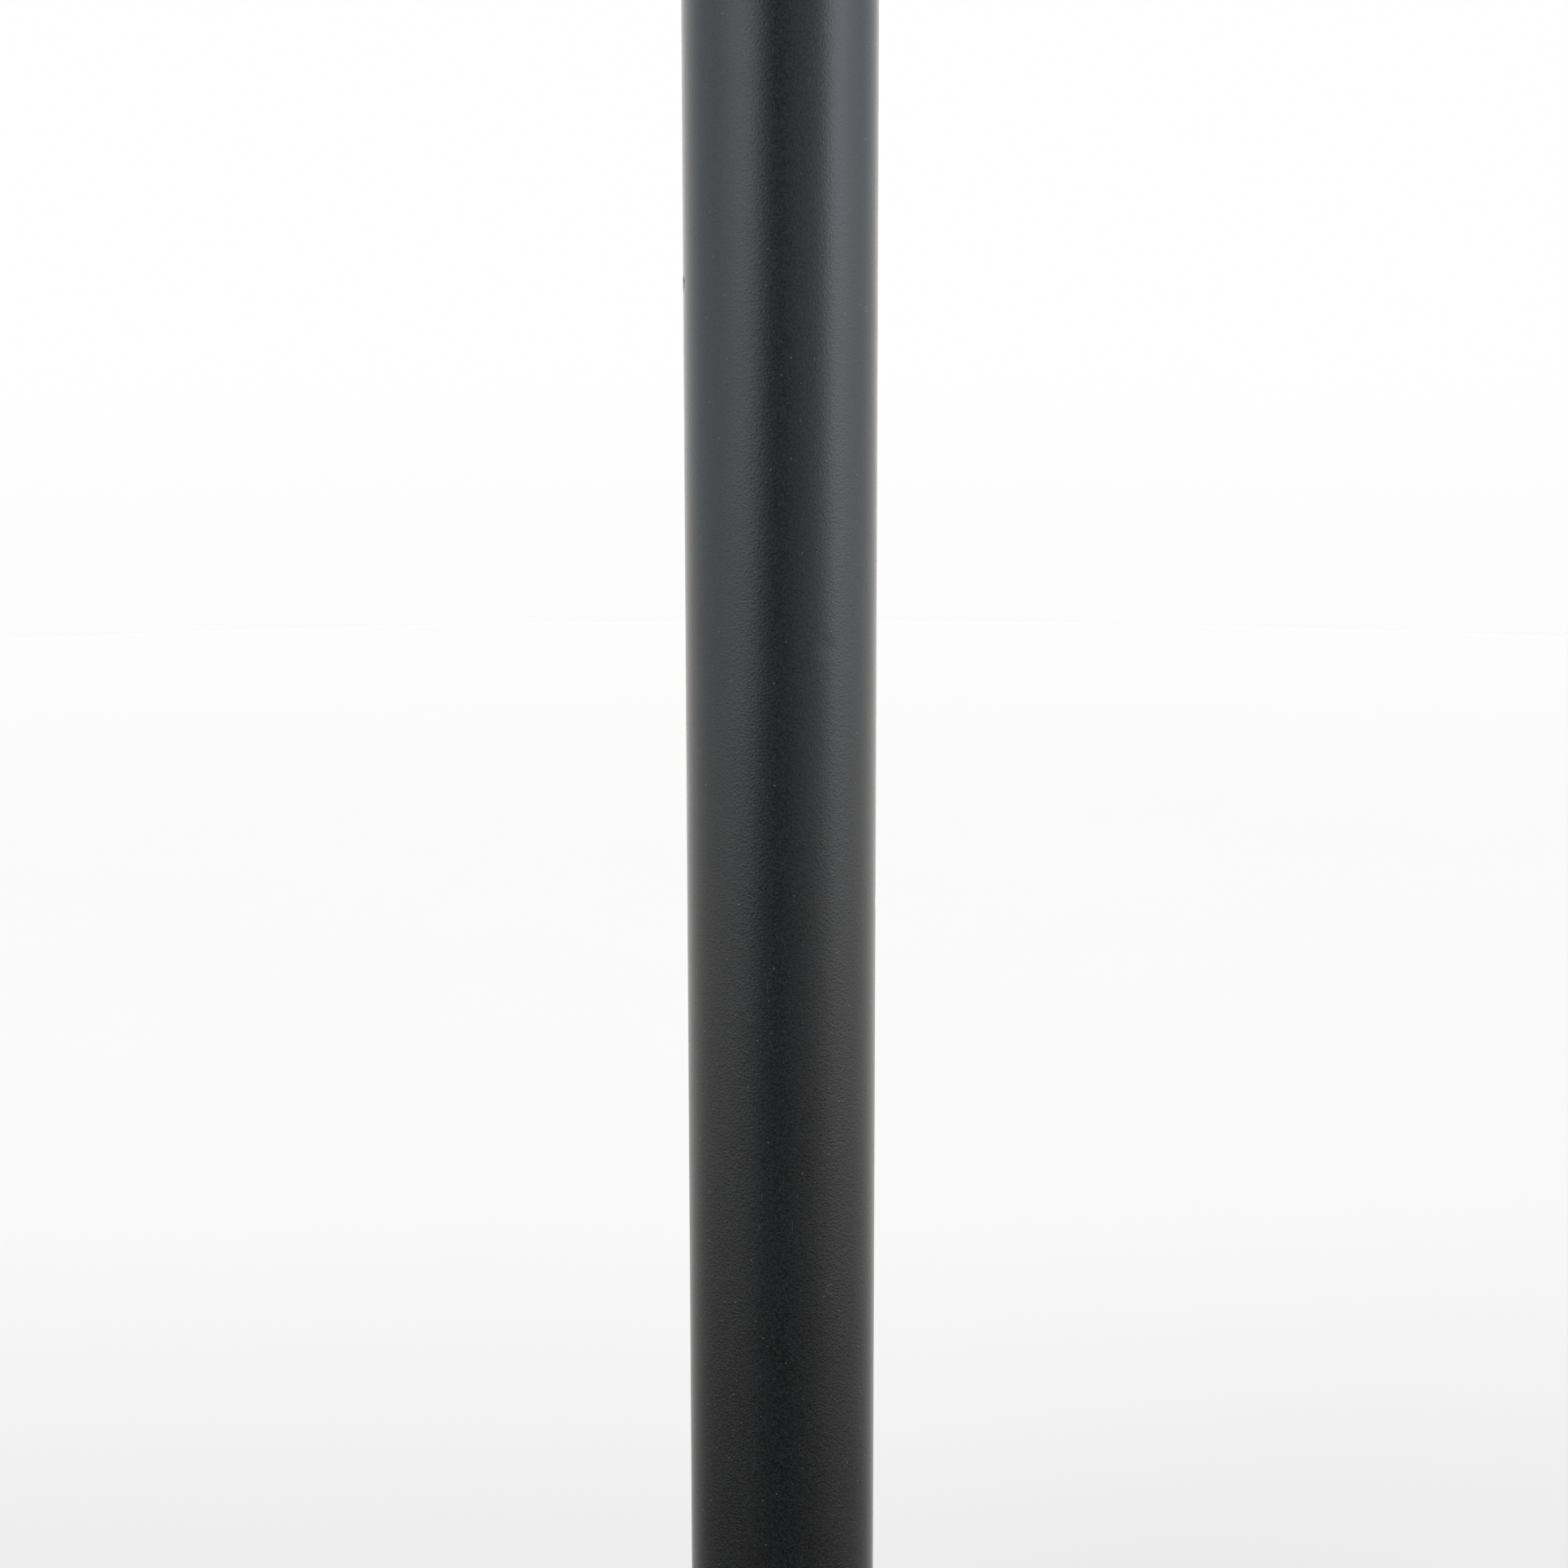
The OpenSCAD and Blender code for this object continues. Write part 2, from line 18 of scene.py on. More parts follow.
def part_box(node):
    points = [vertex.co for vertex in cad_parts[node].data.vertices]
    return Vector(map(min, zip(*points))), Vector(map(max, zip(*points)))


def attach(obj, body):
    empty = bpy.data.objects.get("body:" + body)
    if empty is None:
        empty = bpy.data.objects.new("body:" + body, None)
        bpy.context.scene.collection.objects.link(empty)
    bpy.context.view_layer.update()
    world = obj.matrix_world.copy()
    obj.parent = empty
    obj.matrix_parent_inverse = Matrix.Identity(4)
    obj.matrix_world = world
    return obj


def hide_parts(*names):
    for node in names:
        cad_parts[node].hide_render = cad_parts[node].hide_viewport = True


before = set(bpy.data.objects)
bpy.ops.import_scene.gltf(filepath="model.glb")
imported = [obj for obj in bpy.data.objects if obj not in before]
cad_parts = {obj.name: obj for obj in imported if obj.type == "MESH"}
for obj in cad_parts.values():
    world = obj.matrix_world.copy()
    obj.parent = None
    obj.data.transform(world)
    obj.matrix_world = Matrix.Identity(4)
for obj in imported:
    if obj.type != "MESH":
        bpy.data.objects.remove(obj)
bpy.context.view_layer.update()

LOG = logging.getLogger("ashtray_bin")
MM = 0.001
SMOOTH_ANGLE = math.radians(32)
WELD_GAP = 0.002 * MM

Point = tuple[float, float]
Corner = tuple[float, float, float]
Piece = bpy.types.Object
Socket = bpy.types.NodeSocket
Material = bpy.types.Material
Value = Union[Socket, float, Sequence[float]]


# ---------------------------------------------------------------- outlines


def arc(centre: Point, radius: float, start: float, end: float, steps: int) -> list[Corner]:
    """Points along an arc of an outline, as corners that need no fillet.

    Args:
        centre: The arc's centre, as (distance from the axis, height).
        radius: The arc's radius.
        start: Direction of the first point, in degrees from outwards towards upwards.
        end: Direction of the last point, in degrees.
        steps: Number of straight steps that stand for the arc.

    Returns:
        The arc's points as corners with no fillet.
    """
    turns = [math.radians(start + (end - start) * i / steps) for i in range(steps + 1)]
    return [(centre[0] + radius * math.cos(a), centre[1] + radius * math.sin(a), 0.0) for a in turns]


def rounded(corners: Sequence[Corner], steps: int = 5) -> list[Point]:
    """Rounds the corners of a closed outline.

    Args:
        corners: (distance from the axis, height, fillet) of each corner, in order.
        steps: Number of straight steps in each fillet.

    Returns:
        The outline's points, with a tangent arc in place of each corner that has a fillet.
    """
    points: list[Point] = []
    for i, (r, z, fillet) in enumerate(corners):
        here = Vector((r, z))
        if fillet == 0.0:
            points.append((r, z))
            continue
        before = (Vector(corners[i - 1][:2]) - here).normalized()
        after = (Vector(corners[(i + 1) % len(corners)][:2]) - here).normalized()
        half = before.angle(after) / 2
        centre = here + (before + after).normalized() * (fillet / math.sin(half))
        reach = fillet / math.tan(half)
        first = here + before * reach - centre
        last = here + after * reach - centre
        start = math.atan2(first.y, first.x)
        sweep = math.atan2(first.x * last.y - first.y * last.x, first.dot(last))
        for k in range(steps + 1):
            turn = start + sweep * k / steps
            points.append((centre.x + fillet * math.cos(turn), centre.y + fillet * math.sin(turn)))
    return points


# ---------------------------------------------------------------- bench tools


def put_down() -> None:
    """Leaves edit mode and deselects everything, so that the next tool acts on its own piece."""
    if bpy.context.object and bpy.context.object.mode != "OBJECT":
        bpy.ops.object.mode_set(mode="OBJECT")
    bpy.ops.object.select_all(action="DESELECT")


def pick_up(*pieces: Piece) -> None:
    """Selects these pieces and makes the first one active.

    Args:
        pieces: The pieces.
    """
    put_down()
    for piece in pieces:
        piece.select_set(True)
    bpy.context.view_layer.objects.active = pieces[0]


def settle(piece: Piece) -> Piece:
    """Applies a piece's place, turn and scale to its mesh.

    Args:
        piece: The piece, whose object may be moved, turned or scaled.

    Returns:
        The same piece, with its object at the origin.
    """
    pick_up(piece)
    bpy.ops.object.transform_apply(location=True, rotation=True, scale=True)
    return piece


def join(pieces: Sequence[Piece]) -> Piece:
    """Joins pieces into one.

    Args:
        pieces: The pieces; all but the first are used up.

    Returns:
        The first piece, which now holds them all.
    """
    pick_up(*pieces)
    if len(pieces) > 1:
        bpy.ops.object.join()
    return pieces[0]


def clean(piece: Piece, gap: float = WELD_GAP) -> None:
    """Merges a closed piece's doubled vertices and turns its faces outwards.

    Args:
        piece: The closed piece.
        gap: Distance within which vertices are merged.
    """
    pick_up(piece)
    bpy.ops.object.mode_set(mode="EDIT")
    bpy.ops.mesh.select_all(action="SELECT")
    bpy.ops.mesh.remove_doubles(threshold=gap)
    bpy.ops.mesh.normals_make_consistent(inside=False)
    bpy.ops.object.mode_set(mode="OBJECT")


def turn(name: str, outline: Sequence[Point], steps: int = 192) -> Piece:
    """Turns a closed outline round the Z axis, as on a lathe.

    Args:
        name: Name of the new piece.
        outline: (distance from the axis, height) of each point, in order.
        steps: Number of steps round the axis.

    Returns:
        The closed piece, with its faces outwards.
    """
    put_down()
    r, z = outline[0]
    bpy.ops.mesh.primitive_plane_add(size=MM, location=(r, 0, z))
    piece = settle(bpy.context.object)
    piece.name = name
    bpy.ops.object.mode_set(mode="EDIT")
    bpy.ops.mesh.select_mode(type="VERT")
    bpy.ops.mesh.select_all(action="SELECT")
    bpy.ops.mesh.merge(type="CENTER")
    for (r0, z0), (r1, z1) in zip(outline, [*outline[1:], outline[0]]):
        bpy.ops.mesh.extrude_region_move(TRANSFORM_OT_translate={"value": (r1 - r0, 0, z1 - z0)})
    bpy.ops.mesh.select_all(action="SELECT")
    bpy.ops.mesh.remove_doubles(threshold=WELD_GAP)
    bpy.ops.mesh.spin(steps=steps, angle=math.tau, center=(0, 0, 0), axis=(0, 0, 1))
    bpy.ops.mesh.select_all(action="SELECT")
    bpy.ops.mesh.remove_doubles(threshold=WELD_GAP)
    bpy.ops.mesh.normals_make_consistent(inside=False)
    bpy.ops.object.mode_set(mode="OBJECT")
    return piece


def peg(
    radius: float, low: Sequence[float], high: Sequence[float], end_radius: float = 0.0, sides: int = 64
) -> Piece:
    """A round or many-sided bar between two points, to cut with or to build on.

    Args:
        radius: Radius at the low end.
        low: Centre of the low end.
        high: Centre of the high end.
        end_radius: Radius at the high end, where it differs.
        sides: Number of sides.

    Returns:
        The bar, with its place in its mesh.
    """
    put_down()
    start, end = Vector(low), Vector(high)
    span = end - start
    bpy.ops.mesh.primitive_cone_add(
        vertices=sides, radius1=radius, radius2=end_radius or radius,
        depth=span.length, location=(start + end) / 2,
    )
    bar = bpy.context.object
    bar.rotation_euler = span.to_track_quat("Z", "Y").to_euler()
    return settle(bar)


def around(make: Callable[[], Piece], angles: Sequence[float]) -> list[Piece]:
    """Makes a piece once for each angle and turns each one round the Z axis by it.

    Args:
        make: Makes the piece at angle 0.
        angles: Angles in degrees, from +X towards +Y.

    Returns:
        The pieces, each with its own mesh.
    """
    first = make()
    copies: list[Piece] = []
    for angle in angles:
        copy = first.copy()
        copy.data = first.data.copy()
        bpy.context.collection.objects.link(copy)
        copy.rotation_euler = (0, 0, math.radians(angle))
        copies.append(settle(copy))
    bpy.data.objects.remove(first)
    return copies


def upright(
    radius: float, out: float, low: float, high: float, angles: Sequence[float],
    end_radius: float = 0.0, sides: int = 64,
) -> list[Piece]:
    """Upright pegs on a circle round the Z axis, to drill holes with.

    Args:
        radius: Radius of each peg at its low end.
        out: Distance of the pegs from the axis.
        low: Height of the low ends.
        high: Height of the high ends.
        angles: Where the pegs stand on the circle, in degrees.
        end_radius: Radius at the high end, where it differs.
        sides: Number of sides.

    Returns:
        One peg for each angle.
    """
    return around(lambda: peg(radius, (out, 0, low), (out, 0, high), end_radius, sides), angles)


def level(
    radius: float, start: float, end: float, height: float, angles: Sequence[float], sides: int = 64
) -> list[Piece]:
    """Level pegs that point away from the Z axis, to drill through a wall with.

    Args:
        radius: Radius of each peg.
        start: Distance of the inner ends from the axis.
        end: Distance of the outer ends from the axis.
        height: Height of the pegs' own axes.
        angles: Which way the pegs point, in degrees.
        sides: Number of sides.

    Returns:
        One peg for each angle.
    """
    return around(lambda: peg(radius, (start, 0, height), (end, 0, height), sides=sides), angles)


def block(middle: Sequence[float], size: Sequence[float]) -> Piece:
    """A block to mill with or to build on.

    Args:
        middle: Its middle.
        size: Its width along X, Y and Z.

    Returns:
        The block, with its place in its mesh.
    """
    put_down()
    bpy.ops.mesh.primitive_cube_add(size=1, location=middle)
    made = bpy.context.object
    made.scale = size
    return settle(made)


def apply_modifier(piece: Piece, kind: str, **settings: object) -> None:
    """Adds a modifier to a piece and applies it.

    Args:
        piece: The piece.
        kind: The modifier's type.
        settings: The modifier's properties.
    """
    pick_up(piece)
    modifier = piece.modifiers.new(kind.lower(), kind)
    for key, value in settings.items():
        setattr(modifier, key, value)
    bpy.ops.object.modifier_apply(modifier=modifier.name)


def carve(piece: Piece, tools: Sequence[Piece], operation: str = "DIFFERENCE") -> None:
    """Cuts the tools out of a piece, adds them to it or keeps what they share.

    Args:
        piece: The closed piece.
        tools: Closed pieces that don't touch each other; they are used up.
        operation: DIFFERENCE, UNION or INTERSECT.
    """
    tool = join(tools)
    clean(tool)
    apply_modifier(piece, "BOOLEAN", operation=operation, solver="EXACT", object=tool)
    bpy.data.objects.remove(tool)


def ease_edges(piece: Piece, width: float, steps: int = 2, angle: float = 50.0) -> None:
    """Rounds every sharp edge of a piece.

    Args:
        piece: The piece.
        width: Width of the rounding.
        steps: Number of straight steps in it.
        angle: The least angle between two faces, in degrees, that counts as sharp.
    """
    apply_modifier(
        piece, "BEVEL", width=width, segments=steps, limit_method="ANGLE", angle_limit=math.radians(angle),
        use_clamp_overlap=True, harden_normals=False, miter_outer="MITER_ARC",
    )


def shift(piece: Piece, axis: str, amount: Callable[[Vector], float]) -> None:
    """Moves each vertex along an axis by an amount that depends on its place.

    Args:
        piece: The piece.
        axis: "X", "Y" or "Z".
        amount: Gives the distance, from 0 to 1 cm, for a vertex's place.
    """
    reach = 10 * MM
    group = piece.vertex_groups.new(name="shift")
    for vertex in piece.data.vertices:
        group.add([vertex.index], amount(vertex.co) / reach, "REPLACE")
    apply_modifier(piece, "DISPLACE", direction=axis, vertex_group=group.name, strength=reach, mid_level=0.0)
    piece.vertex_groups.clear()


def dent(piece: Piece, spot: Vector, push: Vector, reach: float) -> None:
    """Pushes a small dent into a piece.

    Args:
        piece: The piece.
        spot: Where the dent is deepest; the nearest vertex is taken.
        push: How far and which way the deepest point moves.
        reach: Distance at which the dent has died out.
    """
    pick_up(piece)
    mesh = piece.data
    for part in (mesh.vertices, mesh.edges, mesh.polygons):
        part.foreach_set("select", [False] * len(part))
    nearest = min(mesh.vertices, key=lambda v: (v.co - spot).length_squared)
    nearest.select = True
    bpy.ops.object.mode_set(mode="EDIT")
    bpy.ops.mesh.select_mode(type="VERT")
    bpy.ops.transform.translate(
        value=push, use_proportional_edit=True, use_proportional_connected=True,
        proportional_edit_falloff="SMOOTH", proportional_size=reach,
    )
    bpy.ops.object.mode_set(mode="OBJECT")


def mark_worn_edges(piece: Piece) -> None:
    """Stores how sharply each vertex bends outwards, as the attribute that wear follows.

    Args:
        piece: The piece, which gets the attribute "worn", from 0 to 1.
    """
    mesh = piece.data
    count = len(mesh.vertices)
    places = np.empty(count * 3)
    mesh.vertices.foreach_get("co", places)
    places = places.reshape(-1, 3)
    normals = np.empty(count * 3)
    mesh.vertex_normals.foreach_get("vector", normals)
    normals = normals.reshape(-1, 3)
    ends = np.empty(len(mesh.edges) * 2, int)
    mesh.edges.foreach_get("vertices", ends)
    first, second = ends.reshape(-1, 2).T
    along = places[second] - places[first]
    along /= np.maximum(np.linalg.norm(along, axis=1, keepdims=True), 1e-9)
    bend = np.zeros(count)
    shared = np.zeros(count)
    np.add.at(bend, first, -np.einsum("ij,ij->i", along, normals[first]))
    np.add.at(bend, second, np.einsum("ij,ij->i", along, normals[second]))
    np.add.at(shared, first, 1)
    np.add.at(shared, second, 1)
    worn = np.clip((bend / np.maximum(shared, 1) - 0.03) / 0.08, 0, 1)
    mesh.attributes.new("worn", "FLOAT", "POINT").data.foreach_set("value", worn.astype(np.float32))


# ---------------------------------------------------------------- finishes


class Grain(Enum):
    """Which way the fine tool marks run on a bare metal surface."""

    ALONG = (1.0, 1.0, 0.02)
    AROUND = (0.03, 0.03, 1.0)
    STRAIGHT = (0.02, 1.0, 1.0)
    EVEN = (1.0, 1.0, 1.0)


class Graph:
    """A material's nodes, with one short method for each kind that the finishes use."""

    def __init__(self, owner: Union[Material, bpy.types.World]) -> None:
        """Starts on the nodes that a new material or world comes with.

        Args:
            owner: The material or world.
        """
        self.owner = owner
        owner.use_nodes = True
        self.tree = owner.node_tree

    @classmethod
    def of_material(cls, name: str) -> "Graph":
        """Starts a new material, with its Principled shader and its output."""
        return cls(bpy.data.materials.new(name))

    def feed(self, socket: Socket, value: Value) -> None:
        """Links a value that is a socket, or sets one that is a number or a colour.

        Args:
            socket: The input.
            value: The socket, number or colour.
        """
        if isinstance(value, Socket):
            self.tree.links.new(value, socket)
        elif isinstance(value, (tuple, list)) and len(value) == 3 and socket.type == "RGBA":
            socket.default_value = (*value, 1.0)
        else:
            socket.default_value = value

    def node(self, kind: str, **inputs: Value) -> bpy.types.Node:
        """Adds a node and feeds its inputs.

        Args:
            kind: The node's type.
            inputs: What each input gets, named with underscores for spaces.

        Returns:
            The node.
        """
        made = self.tree.nodes.new(kind)
        for name, value in inputs.items():
            self.feed(made.inputs[name.replace("_", " ")], value)
        return made

    def places(
        self, stretch: Sequence[float] = (1, 1, 1), shift: Sequence[float] = (0, 0, 0), turned: float = 0.0
    ) -> Socket:
        """The piece's own coordinates in metres.

        Args:
            stretch: Factor on each axis.
            shift: How far the coordinates move, after the turn.
            turned: Turn round Z, in radians.

        Returns:
            The coordinates.
        """
        source = self.tree.nodes.new("ShaderNodeTexCoord").outputs["Object"]
        mapping = self.node("ShaderNodeMapping", Vector=source, Scale=tuple(stretch), Location=tuple(shift))
        mapping.inputs["Rotation"].default_value = (0, 0, turned)
        return mapping.outputs["Vector"]

    def noise(self, at: Value, size: float, detail: float = 2.0, rough: float = 0.5) -> Socket:
        """Smooth noise with features of a size in metres."""
        made = self.node("ShaderNodeTexNoise", Vector=at, Scale=1 / size, Detail=detail, Roughness=rough)
        return made.outputs["Fac"]

    def specks(self, at: Value, pitch: float, radius: float) -> Socket:
        """Round specks, as 1 inside them: one for each cube of the pitch that the surface meets."""
        cells = self.node("ShaderNodeTexVoronoi", Vector=at, Scale=1 / pitch)
        return self.window(cells.outputs["Distance"], radius / pitch, 0.5 * radius / pitch)

    def window(self, value: Value, low: float, high: float) -> Socket:
        """0 where the value is at low, 1 where it is at high, smooth between and flat beyond."""
        return self.ramp(value, low, high, "SMOOTHSTEP")

    def ramp(self, value: Value, low: float, high: float, course: str = "LINEAR") -> Socket:
        """0 where the value is at low, 1 where it is at high, and flat beyond.

        Args:
            value: The value.
            low: The value that gives 0.
            high: The value that gives 1.
            course: LINEAR or SMOOTHSTEP.

        Returns:
            The result.
        """
        made = self.node("ShaderNodeMapRange", Value=value, From_Min=low, From_Max=high)
        made.interpolation_type = course
        return made.outputs["Result"]

    def maths(self, operation: str, first: Value, second: Value = 0.0) -> Socket:
        """One arithmetic step.

        Args:
            operation: Blender's name for it.
            first: The first number.
            second: The second number, where the step has one.

        Returns:
            The result.
        """
        made = self.tree.nodes.new("ShaderNodeMath")
        made.operation = operation
        self.feed(made.inputs[0], first)
        self.feed(made.inputs[1], second)
        return made.outputs[0]

    def times(self, first: Value, second: Value) -> Socket:
        """The product of two numbers."""
        return self.maths("MULTIPLY", first, second)

    def plus(self, first: Value, second: Value) -> Socket:
        """The sum of two numbers."""
        return self.maths("ADD", first, second)

    def minus(self, first: Value, second: Value) -> Socket:
        """The first number less the second."""
        return self.maths("SUBTRACT", first, second)

    def larger(self, first: Value, second: Value) -> Socket:
        """The larger of two numbers."""
        return self.maths("MAXIMUM", first, second)

    def reach(self, first: Value, *others: Value) -> Socket:
        """Distance from zero of a point with these parts.

        Args:
            first: The first part.
            others: The other parts.

        Returns:
            The distance.
        """
        total = self.times(first, first)
        for part in others:
            total = self.plus(total, self.times(part, part))
        return self.maths("SQRT", total)

    def blend(self, factor: Value, first: Value, second: Value, way: str = "MIX") -> Socket:
        """Brings two colours together.

        Args:
            factor: How much the second colour counts, from 0 to 1.
            first: The first colour.
            second: The second colour.
            way: MIX or MULTIPLY.

        Returns:
            The colour.
        """
        made = self.tree.nodes.new("ShaderNodeMix")
        made.data_type, made.blend_type = "RGBA", way
        self.feed(made.inputs["Factor"], factor)
        self.feed(made.inputs[6], first)
        self.feed(made.inputs[7], second)
        return made.outputs[2]

    def tint(self, factor: Value, first: Value, second: Value) -> Socket:
        """The first colour where the factor is 0, the second where it is 1."""
        return self.blend(factor, first, second)

    def axes(self, at: Value) -> list[Socket]:
        """The three parts of a vector."""
        return list(self.node("ShaderNodeSeparateXYZ", Vector=at).outputs)

    def attribute(self, name: str) -> Socket:
        """A number stored on the piece's own vertices.

        Args:
            name: The attribute's name.

        Returns:
            The number.
        """
        made = self.tree.nodes.new("ShaderNodeAttribute")
        made.attribute_name = name
        return made.outputs["Fac"]

    def bump(self, height: Value, depth: float, below: Value = None) -> Socket:
        """Relief of a depth in metres.

        Args:
            height: The relief, from 0 to 1.
            depth: What 1 stands for.
            below: An earlier relief that this one lies on.

        Returns:
            The bent normal.
        """
        made = self.node("ShaderNodeBump", Height=height, Distance=depth, Strength=1.0)
        if below is not None:
            self.feed(made.inputs["Normal"], below)
        return made.outputs["Normal"]

    def dress(self, **inputs: Value) -> Material:
        """Feeds the Principled shader.

        Args:
            inputs: What each input gets, named with underscores for spaces.

        Returns:
            The material.
        """
        shader = self.tree.nodes["Principled BSDF"]
        for name, value in inputs.items():
            self.feed(shader.inputs[name.replace("_", " ")], value)
        return self.owner


@dataclass(frozen=True)
class Scratch:
    """A ring-shaped scratch on a round post: where it is, how wide and how much of the ring shows."""

    bearing: float
    height: float
    ring: float
    line: float
    opening: float
    strength: float


@dataclass(frozen=True)
class PowderCoat:
    """Satin black powder coat: fine orange peel, dust nibs, faint rubs, and wear on its edges."""

    name: str
    tone: tuple[float, float, float] = (0.0088, 0.009, 0.0094)
    roughness: float = 0.2
    gloss: float = 0.5
    peel: float = 0.9 * MM
    peel_depth: float = 0.11 * MM
    fleck: float = 0.8 * MM
    dust_height: float = 0.0
    bare: tuple[float, float, float] = (0.055, 0.055, 0.056)
    rubbed: tuple[float, float, float] = (0.1, 0.1, 0.1)
    dust: tuple[float, float, float] = (0.2, 0.195, 0.18)
    primer: tuple[float, float, float] = (0.004, 0.004, 0.004)
    scratches: tuple[Scratch, ...] = ()
    chip: tuple[float, ...] = ()

    def material(self) -> Material:
        """Builds the material.

        Returns:
            The material, which reads the piece's own coordinates and its worn-edge attribute.
        """
        g = Graph.of_material(self.name)
        at = g.places()
        peel = g.noise(at, self.peel, 2.0, 0.6)
        fine = g.window(g.noise(at, self.fleck, 2.0, 0.6), 0.35, 0.65)
        cloud = g.noise(at, 55 * MM, 3.0)
        tone = g.plus(g.times(cloud, 0.25), g.times(fine, 0.75))
        colour = g.tint(tone, [0.2 * c for c in self.tone], [1.8 * c for c in self.tone])
        sheen = g.plus(g.times(g.noise(at, 14 * MM, 3.0), 0.08), g.times(fine, 0.05))
        satin = g.plus(self.roughness - 0.065, sheen)
        nibs = g.specks(at, 6.5 * MM, 0.42 * MM)
        motes = g.specks(g.places(shift=(0.013, 0.007, 0.021)), 3.4 * MM, 0.27 * MM)
        pale = g.larger(nibs, g.times(motes, 0.5))
        rub = self._rubs(g)
        worn = g.times(g.attribute("worn"), g.window(g.noise(at, 6 * MM, 4.0, 0.65), 0.5, 0.68))
        colour = g.tint(g.times(worn, 0.55), colour, self.bare)
        colour = g.tint(g.times(rub, 0.6), colour, self.rubbed)
        colour = g.tint(g.times(pale, 0.4), colour, self.dust)
        rough = g.plus(satin, g.times(g.larger(rub, pale), 0.16))
        if self.chip:
            chipped = self._chipped(g)
            rough = g.plus(rough, g.times(chipped, 0.45))
            colour = g.tint(g.times(chipped, 0.8), colour, self.primer)
        if self.dust_height > 0:
            colour, rough = self._dusted(g, colour, rough)
        relief = g.bump(peel, self.peel_depth)
        relief = g.bump(pale, 0.03 * MM, relief)
        relief = g.bump(g.minus(1.0, rub), 0.01 * MM, relief)
        return g.dress(Base_Color=colour, Roughness=rough, Specular_IOR_Level=self.gloss, Normal=relief)

    def _rubs(self, g: Graph) -> Socket:
        """Faint hairline rubs in a few patches, and the listed scratches.

        Args:
            g: The material's nodes.

        Returns:
            How rubbed the surface is, from 0 to 1.
        """
        lean = g.places(stretch=(1.0, 1.0, 0.09), turned=0.3)
        lines = g.window(g.noise(lean, 0.9 * MM, 1.0), 0.69, 0.76)
        patches = g.window(g.noise(g.places(), 60 * MM, 2.0), 0.56, 0.68)
        rub = g.times(g.times(lines, patches), 0.5)
        for scratch in self.scratches:
            rub = g.larger(rub, self._ring(g, scratch))
        return rub

    @staticmethod
    def _ring(g: Graph, scratch: Scratch) -> Socket:
        """One scratch: a thin ring on the post's surface, open on one side and broken by noise.

        Args:
            g: The material's nodes.
            scratch: Where it is and how it looks.

        Returns:
            How strongly it shows, from 0 to 1.
        """
        bearing = math.radians(scratch.bearing)
        local = g.places(shift=(0, 0, -scratch.height), turned=-bearing)
        x, y, z = g.axes(local)
        off = g.maths("ABSOLUTE", g.minus(g.reach(x, z), scratch.ring))
        line = g.window(off, scratch.line, 0.3 * scratch.line)
        shown = g.window(x, scratch.opening, scratch.opening - 0.4 * MM)
        front = g.window(y, 0.0, -1 * MM)
        breaks = g.window(g.noise(g.places(), 1.3 * MM, 1.0), 0.35, 0.5)
        kept = g.times(g.times(line, shown), g.times(front, breaks))
        return g.times(kept, scratch.strength)

    def _chipped(self, g: Graph) -> Socket:
        """A small matt chip at one spot, with a ragged edge.

        Args:
            g: The material's nodes.

        Returns:
            How chipped the surface is, from 0 to 1.
        """
        far = g.reach(*g.axes(g.places(shift=[-part for part in self.chip])))
        ragged = g.window(g.noise(g.places(), 1.4 * MM, 2.0), 0.42, 0.52)
        return g.times(g.window(far, 4.0 * MM, 2.5 * MM), ragged)

    def _dusted(self, g: Graph, colour: Value, rough: Value) -> tuple[Value, Value]:
        """Adds a thin film of dust that thins out upwards from the floor.

        Args:
            g: The material's nodes.
            colour: The colour without the dust.
            rough: The roughness without the dust.

        Returns:
            The colour and the roughness with it.
        """
        height = g.axes(g.places())[2]
        film = g.times(g.window(height, self.dust_height, 0.0), g.noise(g.places(), 18 * MM, 4.0, 0.6))
        film = g.times(film, 0.22)
        return g.tint(film, colour, (0.19, 0.18, 0.165)), g.plus(rough, g.times(film, 0.9))


@dataclass(frozen=True)
class BareMetal:
    """Bare or plated metal: tool marks along its grain, cloudy sheen and a few darker stains."""

    name: str
    tone: tuple[float, float, float]
    roughness: float
    grain: Grain = Grain.EVEN
    mark: float = 0.25 * MM
    mark_depth: float = 0.004 * MM
    stain: float = 0.0
    stain_tone: tuple[float, float, float] = (0.12, 0.1, 0.08)

    def material(self) -> Material:
        """Builds the material.

        Returns:
            The material, from the metal's tone, grain and stains.
        """
        g = Graph.of_material(self.name)
        along = g.places(stretch=self.grain.value)
        marks = g.noise(along, self.mark, 3.0, 0.6)
        cloud = g.noise(g.places(), 12 * MM, 3.0)
        colour = g.tint(marks, [0.9 * c for c in self.tone], self.tone)
        rough = g.plus(self.roughness - 0.07, g.times(g.plus(marks, cloud), 0.07))
        if self.stain > 0:
            patch = g.window(g.noise(g.places(), 9 * MM, 5.0, 0.65), 0.5, 0.72)
            patch = g.times(patch, self.stain)
            colour = g.tint(patch, colour, self.stain_tone)
            rough = g.plus(rough, g.times(patch, 0.3))
        worn = g.times(g.attribute("worn"), 0.35)
        colour = g.tint(worn, colour, [min(1.0, 1.15 * c) for c in self.tone])
        relief = g.bump(marks, self.mark_depth)
        return g.dress(Base_Color=colour, Metallic=1.0, Roughness=rough, Normal=relief)


